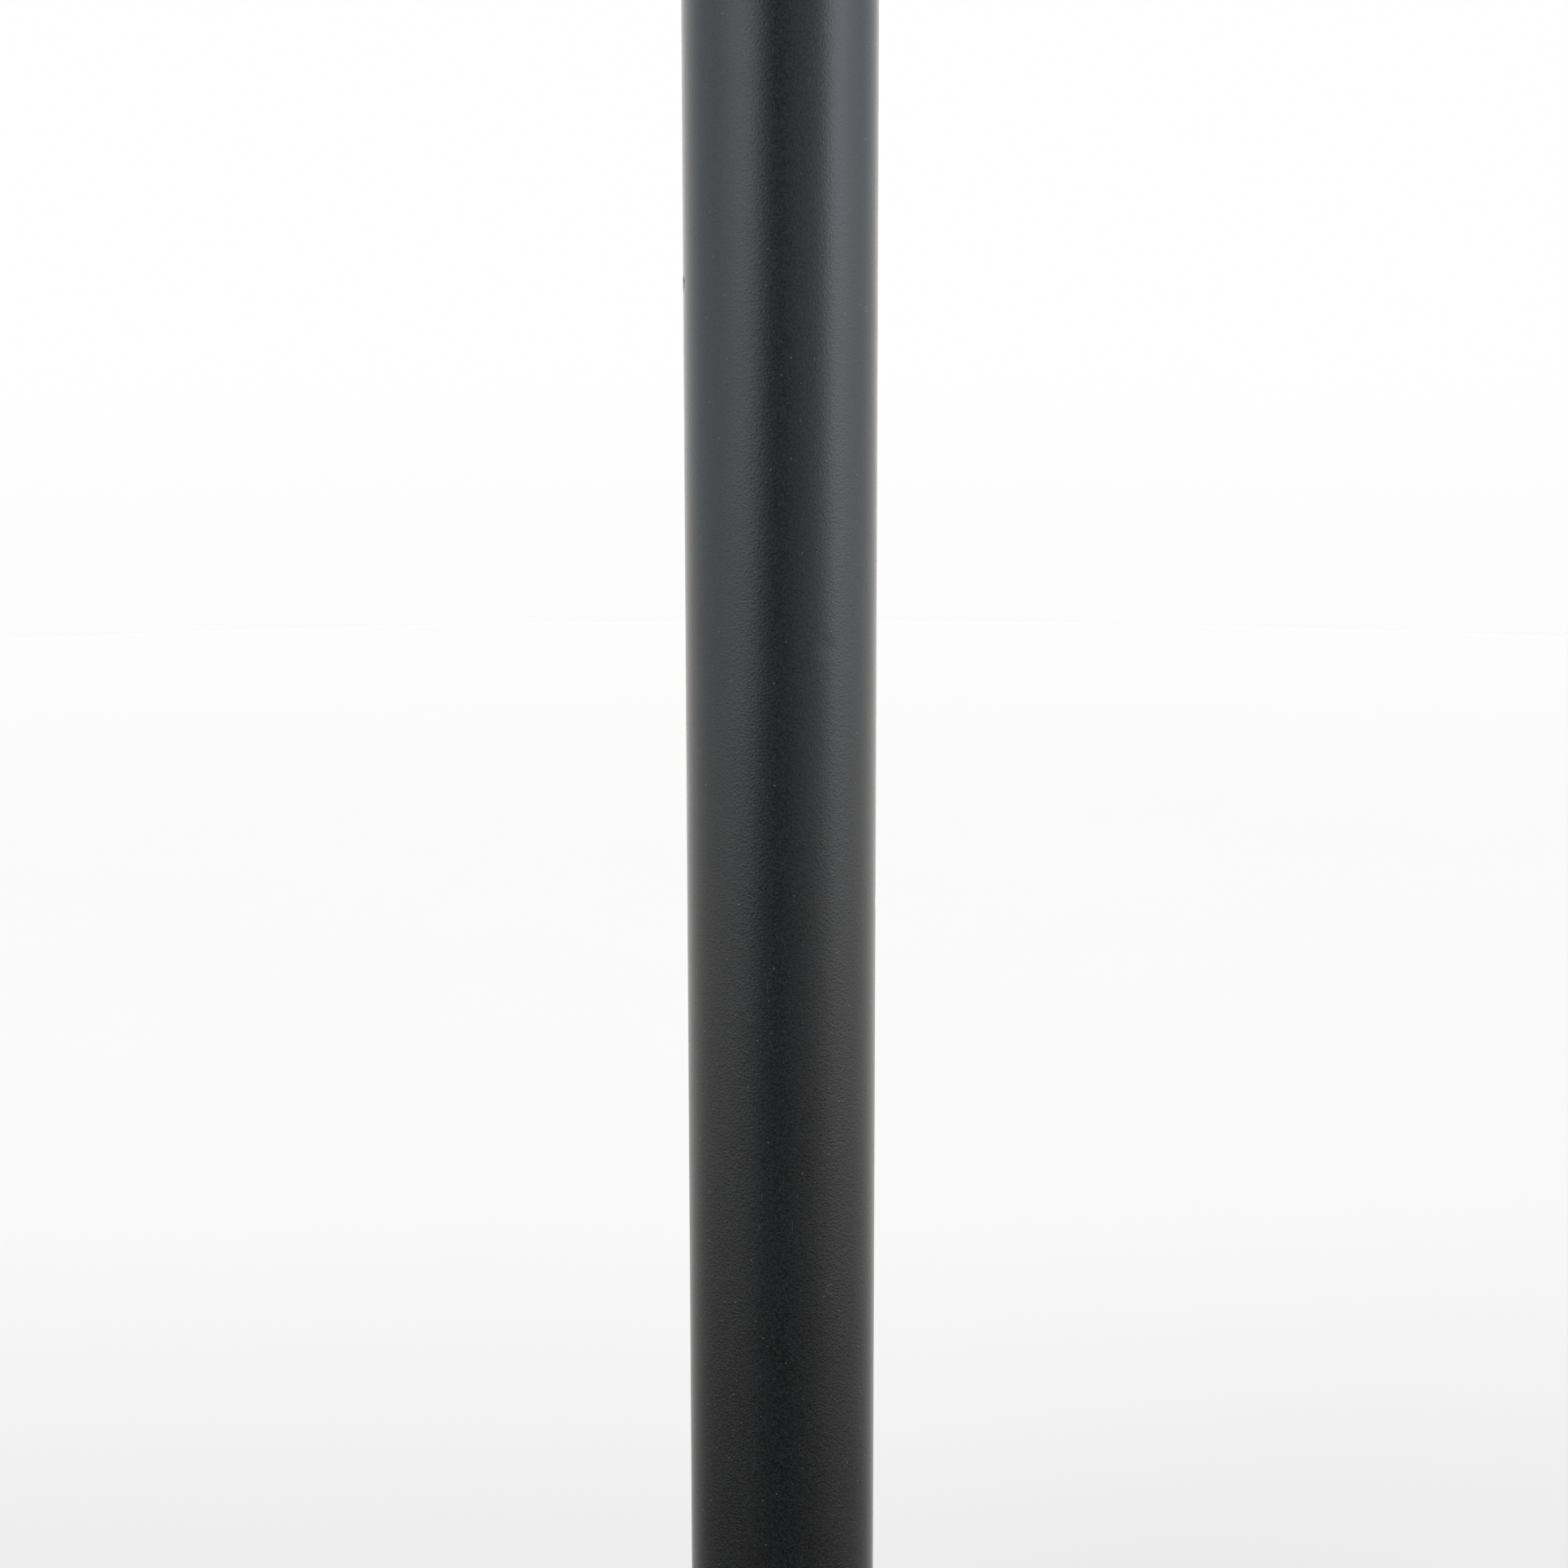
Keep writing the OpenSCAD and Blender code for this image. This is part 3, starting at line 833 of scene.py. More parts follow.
@dataclass(frozen=True)
class StubSteel:
    """The stub plate's brushed stainless steel, with soot and ash where cigarettes are put out."""

    name: str = "stub_steel"
    tone: tuple[float, float, float] = (0.56, 0.55, 0.53)
    soot_reach: float = 24 * MM

    def material(self) -> Material:
        """Builds the material.

        Returns:
            The brushed steel, with soot in the plate's middle and a thin film of ash beyond.
        """
        g = Graph.of_material(self.name)
        at = g.places()
        marks = g.noise(g.places(stretch=Grain.STRAIGHT.value), 0.3 * MM, 3.0, 0.6)
        x, y, _ = g.axes(at)
        far = g.reach(x, y)
        blots = g.noise(at, 5 * MM, 5.0, 0.7)
        soot = g.times(g.window(far, self.soot_reach, 0.3 * self.soot_reach), g.window(blots, 0.42, 0.62))
        flakes = g.window(g.noise(at, 2.2 * MM, 4.0), 0.5, 0.75)
        ash = g.times(g.window(far, 2.4 * self.soot_reach, 0.0), flakes)
        metal = g.tint(marks, [0.88 * c for c in self.tone], self.tone)
        colour = g.tint(g.times(ash, 0.45), metal, (0.3, 0.29, 0.27))
        colour = g.tint(g.times(soot, 0.85), colour, (0.02, 0.018, 0.016))
        film = g.larger(g.times(soot, 0.9), g.times(ash, 0.4))
        metallic = g.minus(1.0, film)
        rough = g.plus(0.25, g.plus(g.times(marks, 0.12), g.times(film, 0.45)))
        relief = g.bump(blots, 0.02 * MM, g.bump(marks, 0.004 * MM))
        return g.dress(Base_Color=colour, Metallic=metallic, Roughness=rough, Normal=relief)


@dataclass(frozen=True)
class Moulded:
    """Moulded rubber or turned plastic: a fine even grain, a soft sheen and paler scuffs."""

    name: str
    tone: tuple[float, float, float]
    roughness: float
    grain: float = 0.5 * MM
    depth: float = 0.02 * MM

    def material(self) -> Material:
        """Builds the material.

        Returns:
            The material, from the tone and the grain.
        """
        g = Graph.of_material(self.name)
        at = g.places()
        grain = g.noise(at, self.grain, 3.0, 0.6)
        cloud = g.noise(at, 10 * MM, 3.0)
        colour = g.tint(cloud, [0.8 * c for c in self.tone], [min(1.0, 1.2 * c) for c in self.tone])
        scuffed = [min(1.0, 1.6 * c + 0.02) for c in self.tone]
        colour = g.tint(g.times(g.attribute("worn"), 0.3), colour, scuffed)
        rough = g.plus(self.roughness - 0.08, g.times(grain, 0.16))
        return g.dress(Base_Color=colour, Roughness=rough, Normal=g.bump(grain, self.depth))


class Finishes:
    """Every finish on the bin, each built once."""

    def __init__(self) -> None:
        """Builds the materials from their finishes."""
        steel = (0.6, 0.59, 0.57)
        zinc = (0.56, 0.57, 0.59)
        aluminium = (0.71, 0.72, 0.73)
        ring_scratch = Scratch(31, 0.2555, ring=1.9 * MM, line=0.3 * MM, opening=1.1 * MM, strength=0.75)
        rub_mark = Scratch(60, 0.646, ring=0.9 * MM, line=0.5 * MM, opening=2 * MM, strength=1.0)
        chip = (-37.7 * MM, -5 * MM, 0.6555)
        column = PowderCoat("column_powder_coat", scratches=(ring_scratch, rub_mark), chip=chip)
        self.column = column.material()
        self.plate = PowderCoat("plate_powder_coat", peel=1.2 * MM, dust_height=0.05).material()
        self.cover = PowderCoat("cover_powder_coat", dust_height=0.06).material()
        self.casting = PowderCoat("casting_powder_coat", peel=1.2 * MM, roughness=0.24).material()
        self.dome = PowderCoat("canopy_powder_coat", roughness=0.22).material()
        self.post = BareMetal("post_steel", steel, 0.27, Grain.AROUND).material()
        self.sheet = BareMetal("sheet_steel", steel, 0.33, Grain.AROUND, stain=0.35).material()
        self.stub = StubSteel().material()
        self.turned = BareMetal("turned_steel", steel, 0.25, Grain.EVEN, mark=0.2 * MM).material()
        self.zinc = BareMetal("bright_zinc", zinc, 0.36, Grain.EVEN, mark=0.6 * MM, stain=0.2).material()
        stains = (0.3, 0.27, 0.22)
        drawn = BareMetal("drawn_aluminium", aluminium, 0.38, Grain.ALONG, stain=0.25, stain_tone=stains)
        self.drawn = drawn.material()
        self.cast = BareMetal("turned_aluminium", aluminium, 0.36, Grain.AROUND).material()
        self.rubber = Moulded("black_rubber", (0.022, 0.022, 0.023), 0.72).material()
        self.nylon = Moulded("natural_nylon", (0.78, 0.75, 0.66), 0.45, depth=0.006 * MM).material()


# ---------------------------------------------------------------- sub-assemblies


@dataclass(frozen=True)
class Extent:
    """Where a CAD node is at rest."""

    low: Vector
    high: Vector

    @classmethod
    def of(cls, node: str) -> "Extent":
        """Reads a node's lowest and highest corners."""
        return cls(*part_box(node))

    @property
    def radius(self) -> float:
        """Half of the node's width."""
        return (self.high.x - self.low.x) / 2

    @property
    def bottom(self) -> float:
        """The node's lowest height."""
        return self.low.z

    @property
    def top(self) -> float:
        """The node's highest height."""
        return self.high.z

    @property
    def middle(self) -> float:
        """The height halfway up the node."""
        return (self.low.z + self.high.z) / 2


@dataclass
class SubAssembly:
    """A group of pieces that belong together, and the finishes that they get."""

    finishes: Finishes
    quarters: tuple[float, ...] = (0, 90, 180, 270)
    thirds: tuple[float, ...] = (90, 210, 330)

    def hand_over(self, piece: Piece, material: Material, slot: str, body: str, *nodes: str) -> Piece:
        """Finishes a new piece: shades it, marks its worn edges, dresses it and fixes it to its body.

        Args:
            piece: The closed piece.
            material: Its material.
            slot: The name of a material slot; not used.
            body: The body that it rides on.
            nodes: The CAD nodes that it stands for.

        Returns:
            The same piece.
        """
        clean(piece)
        mark_worn_edges(piece)
        pick_up(piece)
        bpy.ops.object.shade_smooth_by_angle(angle=SMOOTH_ANGLE)
        apply_modifier(piece, "WEIGHTED_NORMAL", keep_sharp=True, weight=80)
        piece.data.materials.clear()
        piece.data.materials.append(material)
        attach(piece, body)
        if nodes:
            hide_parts(*nodes)
        faces = len(piece.data.polygons)
        LOG.info("made %s: %d faces, on %s, in place of %s", piece.name, faces, body, ", ".join(nodes))
        return piece

    @staticmethod
    def repeat(name: str, make: Callable[[], Piece], angles: Sequence[float]) -> Piece:
        """Makes one piece out of equal solids round the Z axis.

        Args:
            name: Name of the piece.
            make: Makes the solid at angle 0.
            angles: Where the solids are, in degrees.

        Returns:
            The piece.
        """
        piece = join(around(make, angles))
        piece.name = name
        return piece

    @staticmethod
    def standing(outline: Sequence[Point], out: float, steps: int = 64) -> Piece:
        """Turns an outline on the lathe and stands it beside the Z axis.

        Args:
            outline: (distance from its own axis, height) of each point, in order.
            out: Distance between the two axes.
            steps: Number of steps round its own axis.

        Returns:
            The solid, at angle 0.
        """
        made = turn("turned", outline, steps)
        made.location.x = out
        return settle(made)

    def dress_node(self, name: str, material: Material, slot: str) -> None:
        """Gives a CAD node that stays its material, and shades its rounds smooth and its edges sharp.

        Args:
            name: The node.
            material: Its material.
            slot: The name of a material slot; not used.
        """
        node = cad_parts[name]
        node.data.materials.clear()
        node.data.materials.append(material)
        node.data.polygons.foreach_set("use_smooth", [True] * len(node.data.polygons))
        node.modifiers.new("weld", "WELD").merge_threshold = WELD_GAP
        split = node.modifiers.new("edge_split", "EDGE_SPLIT")
        split.split_angle = SMOOTH_ANGLE
        LOG.info("kept %s: %d faces", name, len(node.data.polygons))


def button_screw(
    radius: float, head_radius: float, head_height: float, length: float, socket: float
) -> Piece:
    """A domed button-head screw along +Z, with the underside of its head at the origin.

    Args:
        radius: Radius of the shank.
        head_radius: Radius of the head.
        head_height: Height of the head.
        length: Length of the shank.
        socket: Width of the hexagon socket across its flats.

    Returns:
        The screw as one closed piece.
    """
    dome = (head_radius**2 + head_height**2) / (2 * head_height)
    edge = math.degrees(math.asin(head_radius / dome))
    crown = arc((0.0, head_height - dome), dome, 90 - edge, 90, 12)
    crown[-1] = (0.0, head_height, 0.0)
    shank = [(0.0, -length, 0.0), (radius, -length, 0.3 * radius), (radius, 0.0, 0.0)]
    screw = turn("screw", rounded([*shank, *crown]), 64)
    corner = socket / 2 / math.cos(math.pi / 6)
    carve(screw, [peg(corner, (0, 0, 0.3 * head_height), (0, 0, 2 * head_height), sides=6)])
    return screw


@dataclass
class Foot(SubAssembly):
    """Base plate, floor pads, foot flange with its fasteners, and the loose cover over them."""

    plate_edge: float = 4 * MM
    drain: float = 8 * MM
    anchor_circle: float = 135 * MM
    anchor_hole: float = 6 * MM
    bolt_circle: float = 50 * MM
    bolt_hole: float = 4.3 * MM
    bolt_sink: float = 9.3 * MM
    pad_circle: float = 125 * MM
    pad_angles: tuple[float, ...] = (45, 135, 225, 315)
    spigot_bore: float = 28 * MM
    bolt_thread: float = 4.02 * MM
    screw_thread: float = 3.02 * MM
    cover_sheet: float = 1.6 * MM
    cover_collar: float = 10 * MM
    cover_lip: float = 5 * MM

    def build(self) -> None:
        """Makes every piece of the foot."""
        self.base_plate()
        self.floor_pads()
        self.foot_flange()
        self.column_screws()
        self.base_cover()
        self.dress_node("flange_bolts", self.finishes.zinc, "zinc_steel")

    def base_plate(self) -> None:
        """A thick disc with a rounded rim, four anchor holes, a drain and countersinks below."""
        box = Extent.of("base_plate")
        z0, z1 = box.bottom, box.top
        outline = rounded([
            (self.drain, z0, 0.6 * MM), (box.radius, z0, 0.8 * MM), (box.radius, z1, self.plate_edge),
            (self.drain, z1, 0.8 * MM),
        ], 8)
        plate = turn("base_plate_disc", outline, 256)
        over = z1 + MM
        holes = upright(self.anchor_hole, self.anchor_circle, z0 - MM, over, self.quarters)
        holes += upright(self.bolt_hole, self.bolt_circle, z0 - MM, over, self.quarters)
        carve(plate, holes)
        sinks = upright(self.bolt_sink, self.bolt_circle, z0 - MM, z0 + 4 * MM, self.quarters, self.bolt_hole)
        carve(plate, sinks)
        ease_edges(plate, 0.6 * MM)
        self.hand_over(plate, self.finishes.plate, "black_paint", "post", "base_plate")

    def floor_pads(self) -> None:
        """Four round rubber pads with two grooves in the sole of each."""
        box = Extent.of("floor_pads")
        top = box.top
        reach = box.high.x - self.pad_circle * math.cos(math.radians(self.pad_angles[0]))
        groove = 0.8 * MM
        sole: list[Corner] = [(0.0, 0.0, 0.0)]
        for start, end in ((5 * MM, 6.2 * MM), (10 * MM, 11.2 * MM)):
            sole += [(start, 0, 0.2 * MM), (start, groove, 0.0), (end, groove, 0.0), (end, 0, 0.2 * MM)]
        side = [(reach - MM, 0.0, 0.4 * MM), (reach, MM, 0.4 * MM), (reach, top, 0.0), (0.0, top, 0.0)]
        outline = rounded([*sole, *side], 3)
        angles = self.pad_angles
        pads = self.repeat("rubber_pads", lambda: self.standing(outline, self.pad_circle, 72), angles)
        self.hand_over(pads, self.finishes.rubber, "black_rubber", "post", "floor_pads")

    def foot_flange(self) -> None:
        """The turned flange whose spigot the column slips over."""
        box = Extent.of("foot_flange")
        step = Extent.of("column_tube").bottom
        spigot = Extent.of("column_tube").radius - 2.05 * MM
        outline = rounded([
            (self.spigot_bore, box.bottom, 0.5 * MM), (box.radius, box.bottom, 0.5 * MM),
            (box.radius, step, 1.0 * MM), (spigot, step, 0.0), (spigot, box.top, 1.5 * MM),
            (self.spigot_bore, box.top, 0.8 * MM),
        ])
        flange = turn("flange_and_spigot", outline, 160)
        holes = upright(self.bolt_thread, self.bolt_circle, box.bottom - MM, step + MM, self.quarters)
        holes += level(self.screw_thread, 20 * MM, 50 * MM, self.screw_height(), self.thirds)
        carve(flange, holes)
        self.hand_over(flange, self.finishes.plate, "black_paint", "post", "foot_flange")

    @staticmethod
    def screw_height() -> float:
        """Height of the column screws' axes."""
        return Extent.of("column_screws").middle

    def column_screws(self) -> None:
        """Three button-head screws through the column into the spigot."""
        seat = Extent.of("column_tube").radius + 0.05 * MM

        def screw() -> Piece:
            """Makes one screw.

            Returns:
                The screw, pointing inwards along X.
            """
            made = button_screw(
                radius=2.95 * MM, head_radius=5.25 * MM, head_height=3.3 * MM, length=9 * MM, socket=4 * MM
            )
            made.rotation_euler = (0, math.pi / 2, 0)
            made.location = (seat, 0, self.screw_height())
            return settle(made)

        screws = self.repeat("column_button_screws", screw, self.thirds)
        self.hand_over(screws, self.finishes.zinc, "zinc_steel", "post", "column_screws")

    def base_cover(self) -> None:
        """A spun trumpet-shaped cover with a rolled lip and a close collar."""
        box = Extent.of("base_cover")
        sheet = self.cover_sheet
        bore = Extent.of("column_tube").radius + 0.3 * MM
        collar = bore + sheet
        lip_top = box.bottom + self.cover_lip
        flare_top = box.top - self.cover_collar
        rise, run = flare_top - lip_top, box.radius - collar
        sweep = (rise**2 + run**2) / (2 * run)
        centre = (collar + sweep, flare_top)
        start = 180 + math.degrees(math.asin(rise / sweep))
        outside = arc(centre, sweep, start, 180, 28)
        inside = arc(centre, sweep + sheet, 180, start - 1.5, 28)
        corners = [
            (box.radius - sheet, box.bottom, 0.5 * MM), (box.radius, box.bottom, 0.6 * MM), *outside,
            (collar, box.top, 0.5 * MM), (bore, box.top, 0.5 * MM),
            (bore, flare_top + 2 * MM, 0.0), *inside[1:], (box.radius - sheet, lip_top - MM, 0.0),
        ]
        cover = turn("trumpet_cover", rounded(corners, 4), 224)
        self.hand_over(cover, self.finishes.cover, "black_paint", "base_cover", "base_cover")


@dataclass
class ColumnPost(SubAssembly):
    """The column tube and the sleeve that stiffens its mouth."""

    wall: float = 2 * MM
    edge: float = 0.45 * MM
    row: float = 12 * MM
    fine_row: float = 0.9 * MM
    chip_height: float = 0.657
    nick_height: float = 0.408
    dimple_height: float = 0.5165
    dimple_bearing: float = 27.0

    def build(self) -> None:
        """Makes the tube and the sleeve."""
        self.tube()
        self.sleeve()

    def tube(self) -> None:
        """The long tube, with rows close together where it has its small dents."""
        box = Extent.of("column_tube")
        outer, bore = box.radius, box.radius - self.wall
        outside = [(outer, z, 0.0) for z in self.rows(box.bottom + 2 * MM, box.top - 2 * MM)]
        outline = rounded([
            (bore, box.bottom, self.edge), (outer, box.bottom, self.edge), *outside,
            (outer, box.top, self.edge), (bore, box.top, self.edge),
        ], 3)
        column = turn("column_post", outline, 288)
        holes = level(3.2 * MM, 30 * MM, 45 * MM, Foot.screw_height(), self.thirds)
        carve(column, [*self.notch(box), *holes])
        clean(column)
        self.knocks(column, outer)
        self.hand_over(column, self.finishes.column, "black_paint", "post", "column_tube")

    def knocks(self, column: Piece, outer: float) -> None:
        """Dents the tube: a chip in two parts, a nick and a shallow dimple.

        Args:
            column: The tube.
            outer: Its radius.
        """
        chip = self.chip_height
        dent(column, Vector((-outer, -4 * MM, chip)), Vector((0.5 * MM, 0, 0)), 2.4 * MM)
        dent(column, Vector((-outer, -3 * MM, chip - 2.8 * MM)), Vector((0.4 * MM, 0, 0)), 1.8 * MM)
        dent(column, Vector((outer, -2 * MM, self.nick_height)), Vector((-0.35 * MM, 0, 0)), 4 * MM)
        bearing = math.radians(self.dimple_bearing)
        outwards = Vector((math.sin(bearing), -math.cos(bearing), 0))
        spot = outer * outwards + Vector((0, 0, self.dimple_height))
        dent(column, spot, -0.12 * MM * outwards, 6.5 * MM)

    def rows(self, low: float, high: float) -> list[float]:
        """Heights of the rows of vertices on the tube's outside.

        Args:
            low: The lowest row.
            high: The highest row.

        Returns:
            The heights in order, close together where the tube has its dents.
        """
        count = round((high - low) / self.row)
        heights = [low + (high - low) * i / count for i in range(count + 1)]
        for spot in (self.chip_height, self.nick_height, self.dimple_height):
            heights = [z for z in heights if abs(z - spot) > 6.5 * MM]
            heights += [spot + self.fine_row * i for i in range(-7, 8)]
        return sorted(heights)

    @staticmethod
    def notch(box: Extent) -> list[Piece]:
        """What the lock's notch takes out: a round seat, and a narrow neck open to the top.

        Args:
            box: Where the notched tube is.

        Returns:
            The tool, in a list of its own.
        """
        axis = Extent.of("lock_spindle").middle
        seat = peg(7.5 * MM, (0, -0.03, axis), (0, -0.045, axis), sides=96)
        neck = block((0, -0.0375, (axis + box.top) / 2 + MM), (9 * MM, 15 * MM, box.top - axis + 2 * MM))
        carve(seat, [neck], "UNION")
        return [seat]

    def sleeve(self) -> None:
        """The stainless sleeve inside the column's mouth."""
        box = Extent.of("column_sleeve")
        bore = box.radius - 1.6 * MM
        outline = rounded([
            (bore, box.bottom, 0.4 * MM), (box.radius, box.bottom, 0.4 * MM), (box.radius, box.top, 0.3 * MM),
            (bore, box.top, 0.5 * MM),
        ], 3)
        sleeve = turn("mouth_sleeve", outline, 192)
        carve(sleeve, self.notch(box))
        self.hand_over(sleeve, self.finishes.sheet, "stainless", "post", "column_sleeve")


@dataclass
class Head(SubAssembly):
    """The head casting with its funnel, stub plate, posts, canopy and lock bezel."""

    flare: float = 90 * MM
    flare_wall: float = 4.5 * MM
    rim_height: float = 15 * MM
    rim_edge: float = 1.5 * MM
    ledge_drop: float = 13 * MM
    post_circle: float = 56 * MM
    stud_hole: float = 3.2 * MM
    ring_circle: float = 34 * MM
    drop_circle: float = 31 * MM
    drop_hole: float = 8 * MM
    drop_angles: tuple[float, ...] = (30, 150, 270)
    rib_pitch: float = 5 * MM
    rib_width: float = 1.6 * MM
    rib_height: float = 1.0 * MM
    rib_zone: float = 17 * MM
    dome_wall: float = 2.5 * MM
    stud_thread: float = 3 * MM
    ring_thread: float = 2.25 * MM
    screw_hole: float = 2.7 * MM
    screw_seat: float = 8 * MM
    bezel_hole: float = 10.02 * MM
    bezel_radius: float = 9.95 * MM
    bezel_flange: float = 13.5 * MM
    bezel_bore: float = 7.05 * MM
    bezel_shoulder: float = 54.05 * MM
    bezel_face: float = 57.05 * MM
    key_recess: float = 8.5 * MM
    key_depth: float = 7.5 * MM
    grub_hole: float = 4.0 * MM
    grub_out: float = 48.05 * MM

    def build(self) -> None:
        """Makes every piece of the head."""
        self.casting()
        self.funnel()
        self.stub_plate()
        self.posts()
        self.canopy()
        self.screws()
        self.lock_bezel()
        f = self.finishes
        self.dress_node("head_gasket", f.rubber, "black_rubber")
        self.dress_node("bayonet_ring", f.cast, "stainless")
        self.dress_node("ring_screws", f.zinc, "zinc_steel")
        self.dress_node("bezel_grub_screw", f.zinc, "zinc_steel")

    def casting(self) -> None:
        """The skirt, the flared bowl with its rim, the web inside and the lock boss in front."""
        box = Extent.of("head_casting")
        column = Extent.of("column_tube")
        bore = column.radius + 0.3 * MM
        skirt = bore + 4.15 * MM
        rim = box.high.x
        flare_z = column.top - 6 * MM
        centre = (skirt + self.flare, flare_z)
        flare_end = math.degrees(math.acos((centre[0] - rim + self.rim_edge) / self.flare))
        rim_z = box.top - self.rim_height
        ledge = box.top - self.ledge_drop
        seat, bowl = rim - 4 * MM, rim - 11.5 * MM
        inner = self.flare + self.flare_wall
        web = column.top + 7.5 * MM
        web_top = web + 6 * MM
        bowl_start = math.degrees(math.acos((centre[0] - bowl) / inner))
        bowl_end = math.degrees(math.asin((web_top - flare_z) / inner))
        corners = [
            (bore, box.bottom, 0.8 * MM), (skirt, box.bottom, 1.2 * MM),
            *arc(centre, self.flare, 180, 180 - flare_end, 36),
            *arc((rim - self.rim_edge, rim_z + self.rim_edge), self.rim_edge, -90, 0, 6)[1:],
            (rim, box.top, self.rim_edge), (seat, box.top, 1.0 * MM), (seat, ledge, 0.4 * MM),
            (bowl, ledge, 0.6 * MM),
            *arc(centre, inner, 180 - bowl_start, 180 - bowl_end, 24),
            (28.6 * MM, web_top, 0.6 * MM), (28.6 * MM, web, 0.4 * MM), (bore, web, 0.4 * MM),
        ]
        head = turn("head_bowl", rounded(corners), 256)
        carve(head, [self.lock_boss(skirt)], "UNION")
        carve(head, self.casting_holes(web, web_top, ledge))
        self.hand_over(head, self.finishes.casting, "black_paint", "head", "head_casting")

    @staticmethod
    def lock_axis() -> float:
        """Height of the lock's axis."""
        return Extent.of("lock_bezel").middle

    def lock_boss(self, skirt: float) -> Piece:
        """The round boss in front, whose root flares out to meet the skirt in a cast fillet.

        Args:
            skirt: Radius of the skirt.

        Returns:
            The boss, to be added to the casting.
        """
        face = -Extent.of("lock_bezel").low.y - 3 * MM
        radius, fillet = 15 * MM, 3 * MM
        root = arc((radius + fillet, fillet), fillet, 262, 180, 8)
        corners = [(0.0, -2.4 * MM, 0.0), (radius + fillet + 0.6 * MM, -2.4 * MM, 0.0)]
        corners += [(radius + fillet + 0.6 * MM, -0.25 * MM, 0.0), *root]
        corners += [(radius, face - skirt - 0.1 * MM, 1.0 * MM), (0.0, face - skirt - 0.1 * MM, 0.0)]
        boss = turn("lock_boss", rounded(corners, 4), 128)
        boss.rotation_euler = (math.pi / 2, 0, 0)
        boss.location = (0, -skirt, self.lock_axis())
        settle(boss)

        def sag(place: Vector) -> float:
            """How far the root sinks at a place beside the middle, to stay on the round skirt."""
            share = 1 - (-skirt - place.y - fillet) / (face - skirt - fillet - 1.5 * MM)
            return (skirt - math.sqrt(skirt**2 - place.x**2)) * min(max(share, 0), 1)

        shift(boss, "Y", sag)
        return boss

    def casting_holes(self, web: float, web_top: float, ledge: float) -> list[Piece]:
        """The holes of the bezel, the grub screw, the post studs and the ring screws.

        Args:
            web: Height of the web's underside.
            web_top: Height of its upper side.
            ledge: Height of the ledge that the stub plate lies on.

        Returns:
            The pegs to drill with.
        """
        axis = self.lock_axis()
        holes = [peg(self.bezel_hole, (0, -37 * MM, axis), (0, -60 * MM, axis), sides=96)]
        grub = (0, -self.grub_out, axis)
        holes.append(peg(self.grub_hole, (0, -self.grub_out, axis - 20 * MM), grub, sides=32))
        low = ledge - 11 * MM
        holes += upright(self.stud_thread, self.post_circle, low, ledge + MM, self.thirds, sides=32)
        low, high = web - MM, web_top + MM
        holes += upright(self.ring_thread, self.ring_circle, low, high, self.drop_angles, sides=32)
        return holes

    def funnel(self) -> None:
        """The spun funnel that leads butts from the plate down into the canister."""
        box = Extent.of("funnel")
        sheet = MM
        neck, cone = 27.8 * MM, 48 * MM
        cone_z = Extent.of("column_tube").top + 18 * MM
        corners = [
            (neck - sheet, box.bottom, 0.0), (neck, box.bottom, 0.0), (neck, cone_z, 3 * MM),
            (cone, box.top - sheet, 1.5 * MM), (box.high.x, box.top - sheet, 0.3 * MM),
            (box.high.x, box.top, 0.3 * MM), (cone - sheet, box.top, 2 * MM),
            (neck - sheet, cone_z, 2.2 * MM),
        ]
        funnel = turn("butt_funnel", rounded(corners), 160)
        low, high = box.top - 5 * MM, box.top + 5 * MM
        carve(funnel, upright(self.stud_hole, self.post_circle, low, high, self.thirds, sides=32))
        self.hand_over(funnel, self.finishes.sheet, "stainless", "head", "funnel")

    def stub_plate(self) -> None:
        """The round plate with its countersunk drop holes and the pressed ribs in its middle."""
        box = Extent.of("stub_plate")
        low = box.bottom
        top = box.top - self.rib_height
        edge = 0.4 * MM
        corners = [(0.0, low, 0.0), (box.radius, low, edge), (box.radius, top, edge), (0.0, top, 0.0)]
        plate = turn("ribbed_stub_plate", rounded(corners), 192)
        out, hole = self.drop_circle, self.drop_hole
        holes = upright(hole, out, low - MM, top + MM, self.drop_angles)
        holes += upright(self.stud_hole, self.post_circle, low - MM, top + MM, self.thirds, sides=32)
        carve(plate, holes)
        carve(plate, upright(hole, out, top - 0.8 * MM, top + 0.2 * MM, self.drop_angles, hole + MM))
        carve(plate, [self.rib(i * self.rib_pitch, top, box.top) for i in range(-3, 4)], "UNION")
        self.hand_over(plate, self.finishes.stub, "stainless", "head", "stub_plate")

    def rib(self, x: float, low: float, high: float) -> Piece:
        """One rib across the stubbing zone, rounded all over, with its lower part inside the plate.

        Args:
            x: Where the rib is.
            low: Height of the plate's upper side.
            high: Height of the rib's top.

        Returns:
            The rib, to be added to the plate.
        """
        length = 2 * math.sqrt(self.rib_zone**2 - x**2)
        buried = 0.8 * MM
        rib = block((x, 0, (low + high - buried) / 2), (self.rib_width, length, high - low + buried))
        bpy.ops.object.mode_set(mode="EDIT")
        bpy.ops.mesh.select_all(action="SELECT")
        bpy.ops.mesh.select_mode(type="EDGE")
        bpy.ops.mesh.bevel(offset=0.6 * MM, segments=4, affect="EDGES")
        bpy.ops.object.mode_set(mode="OBJECT")
        return rib

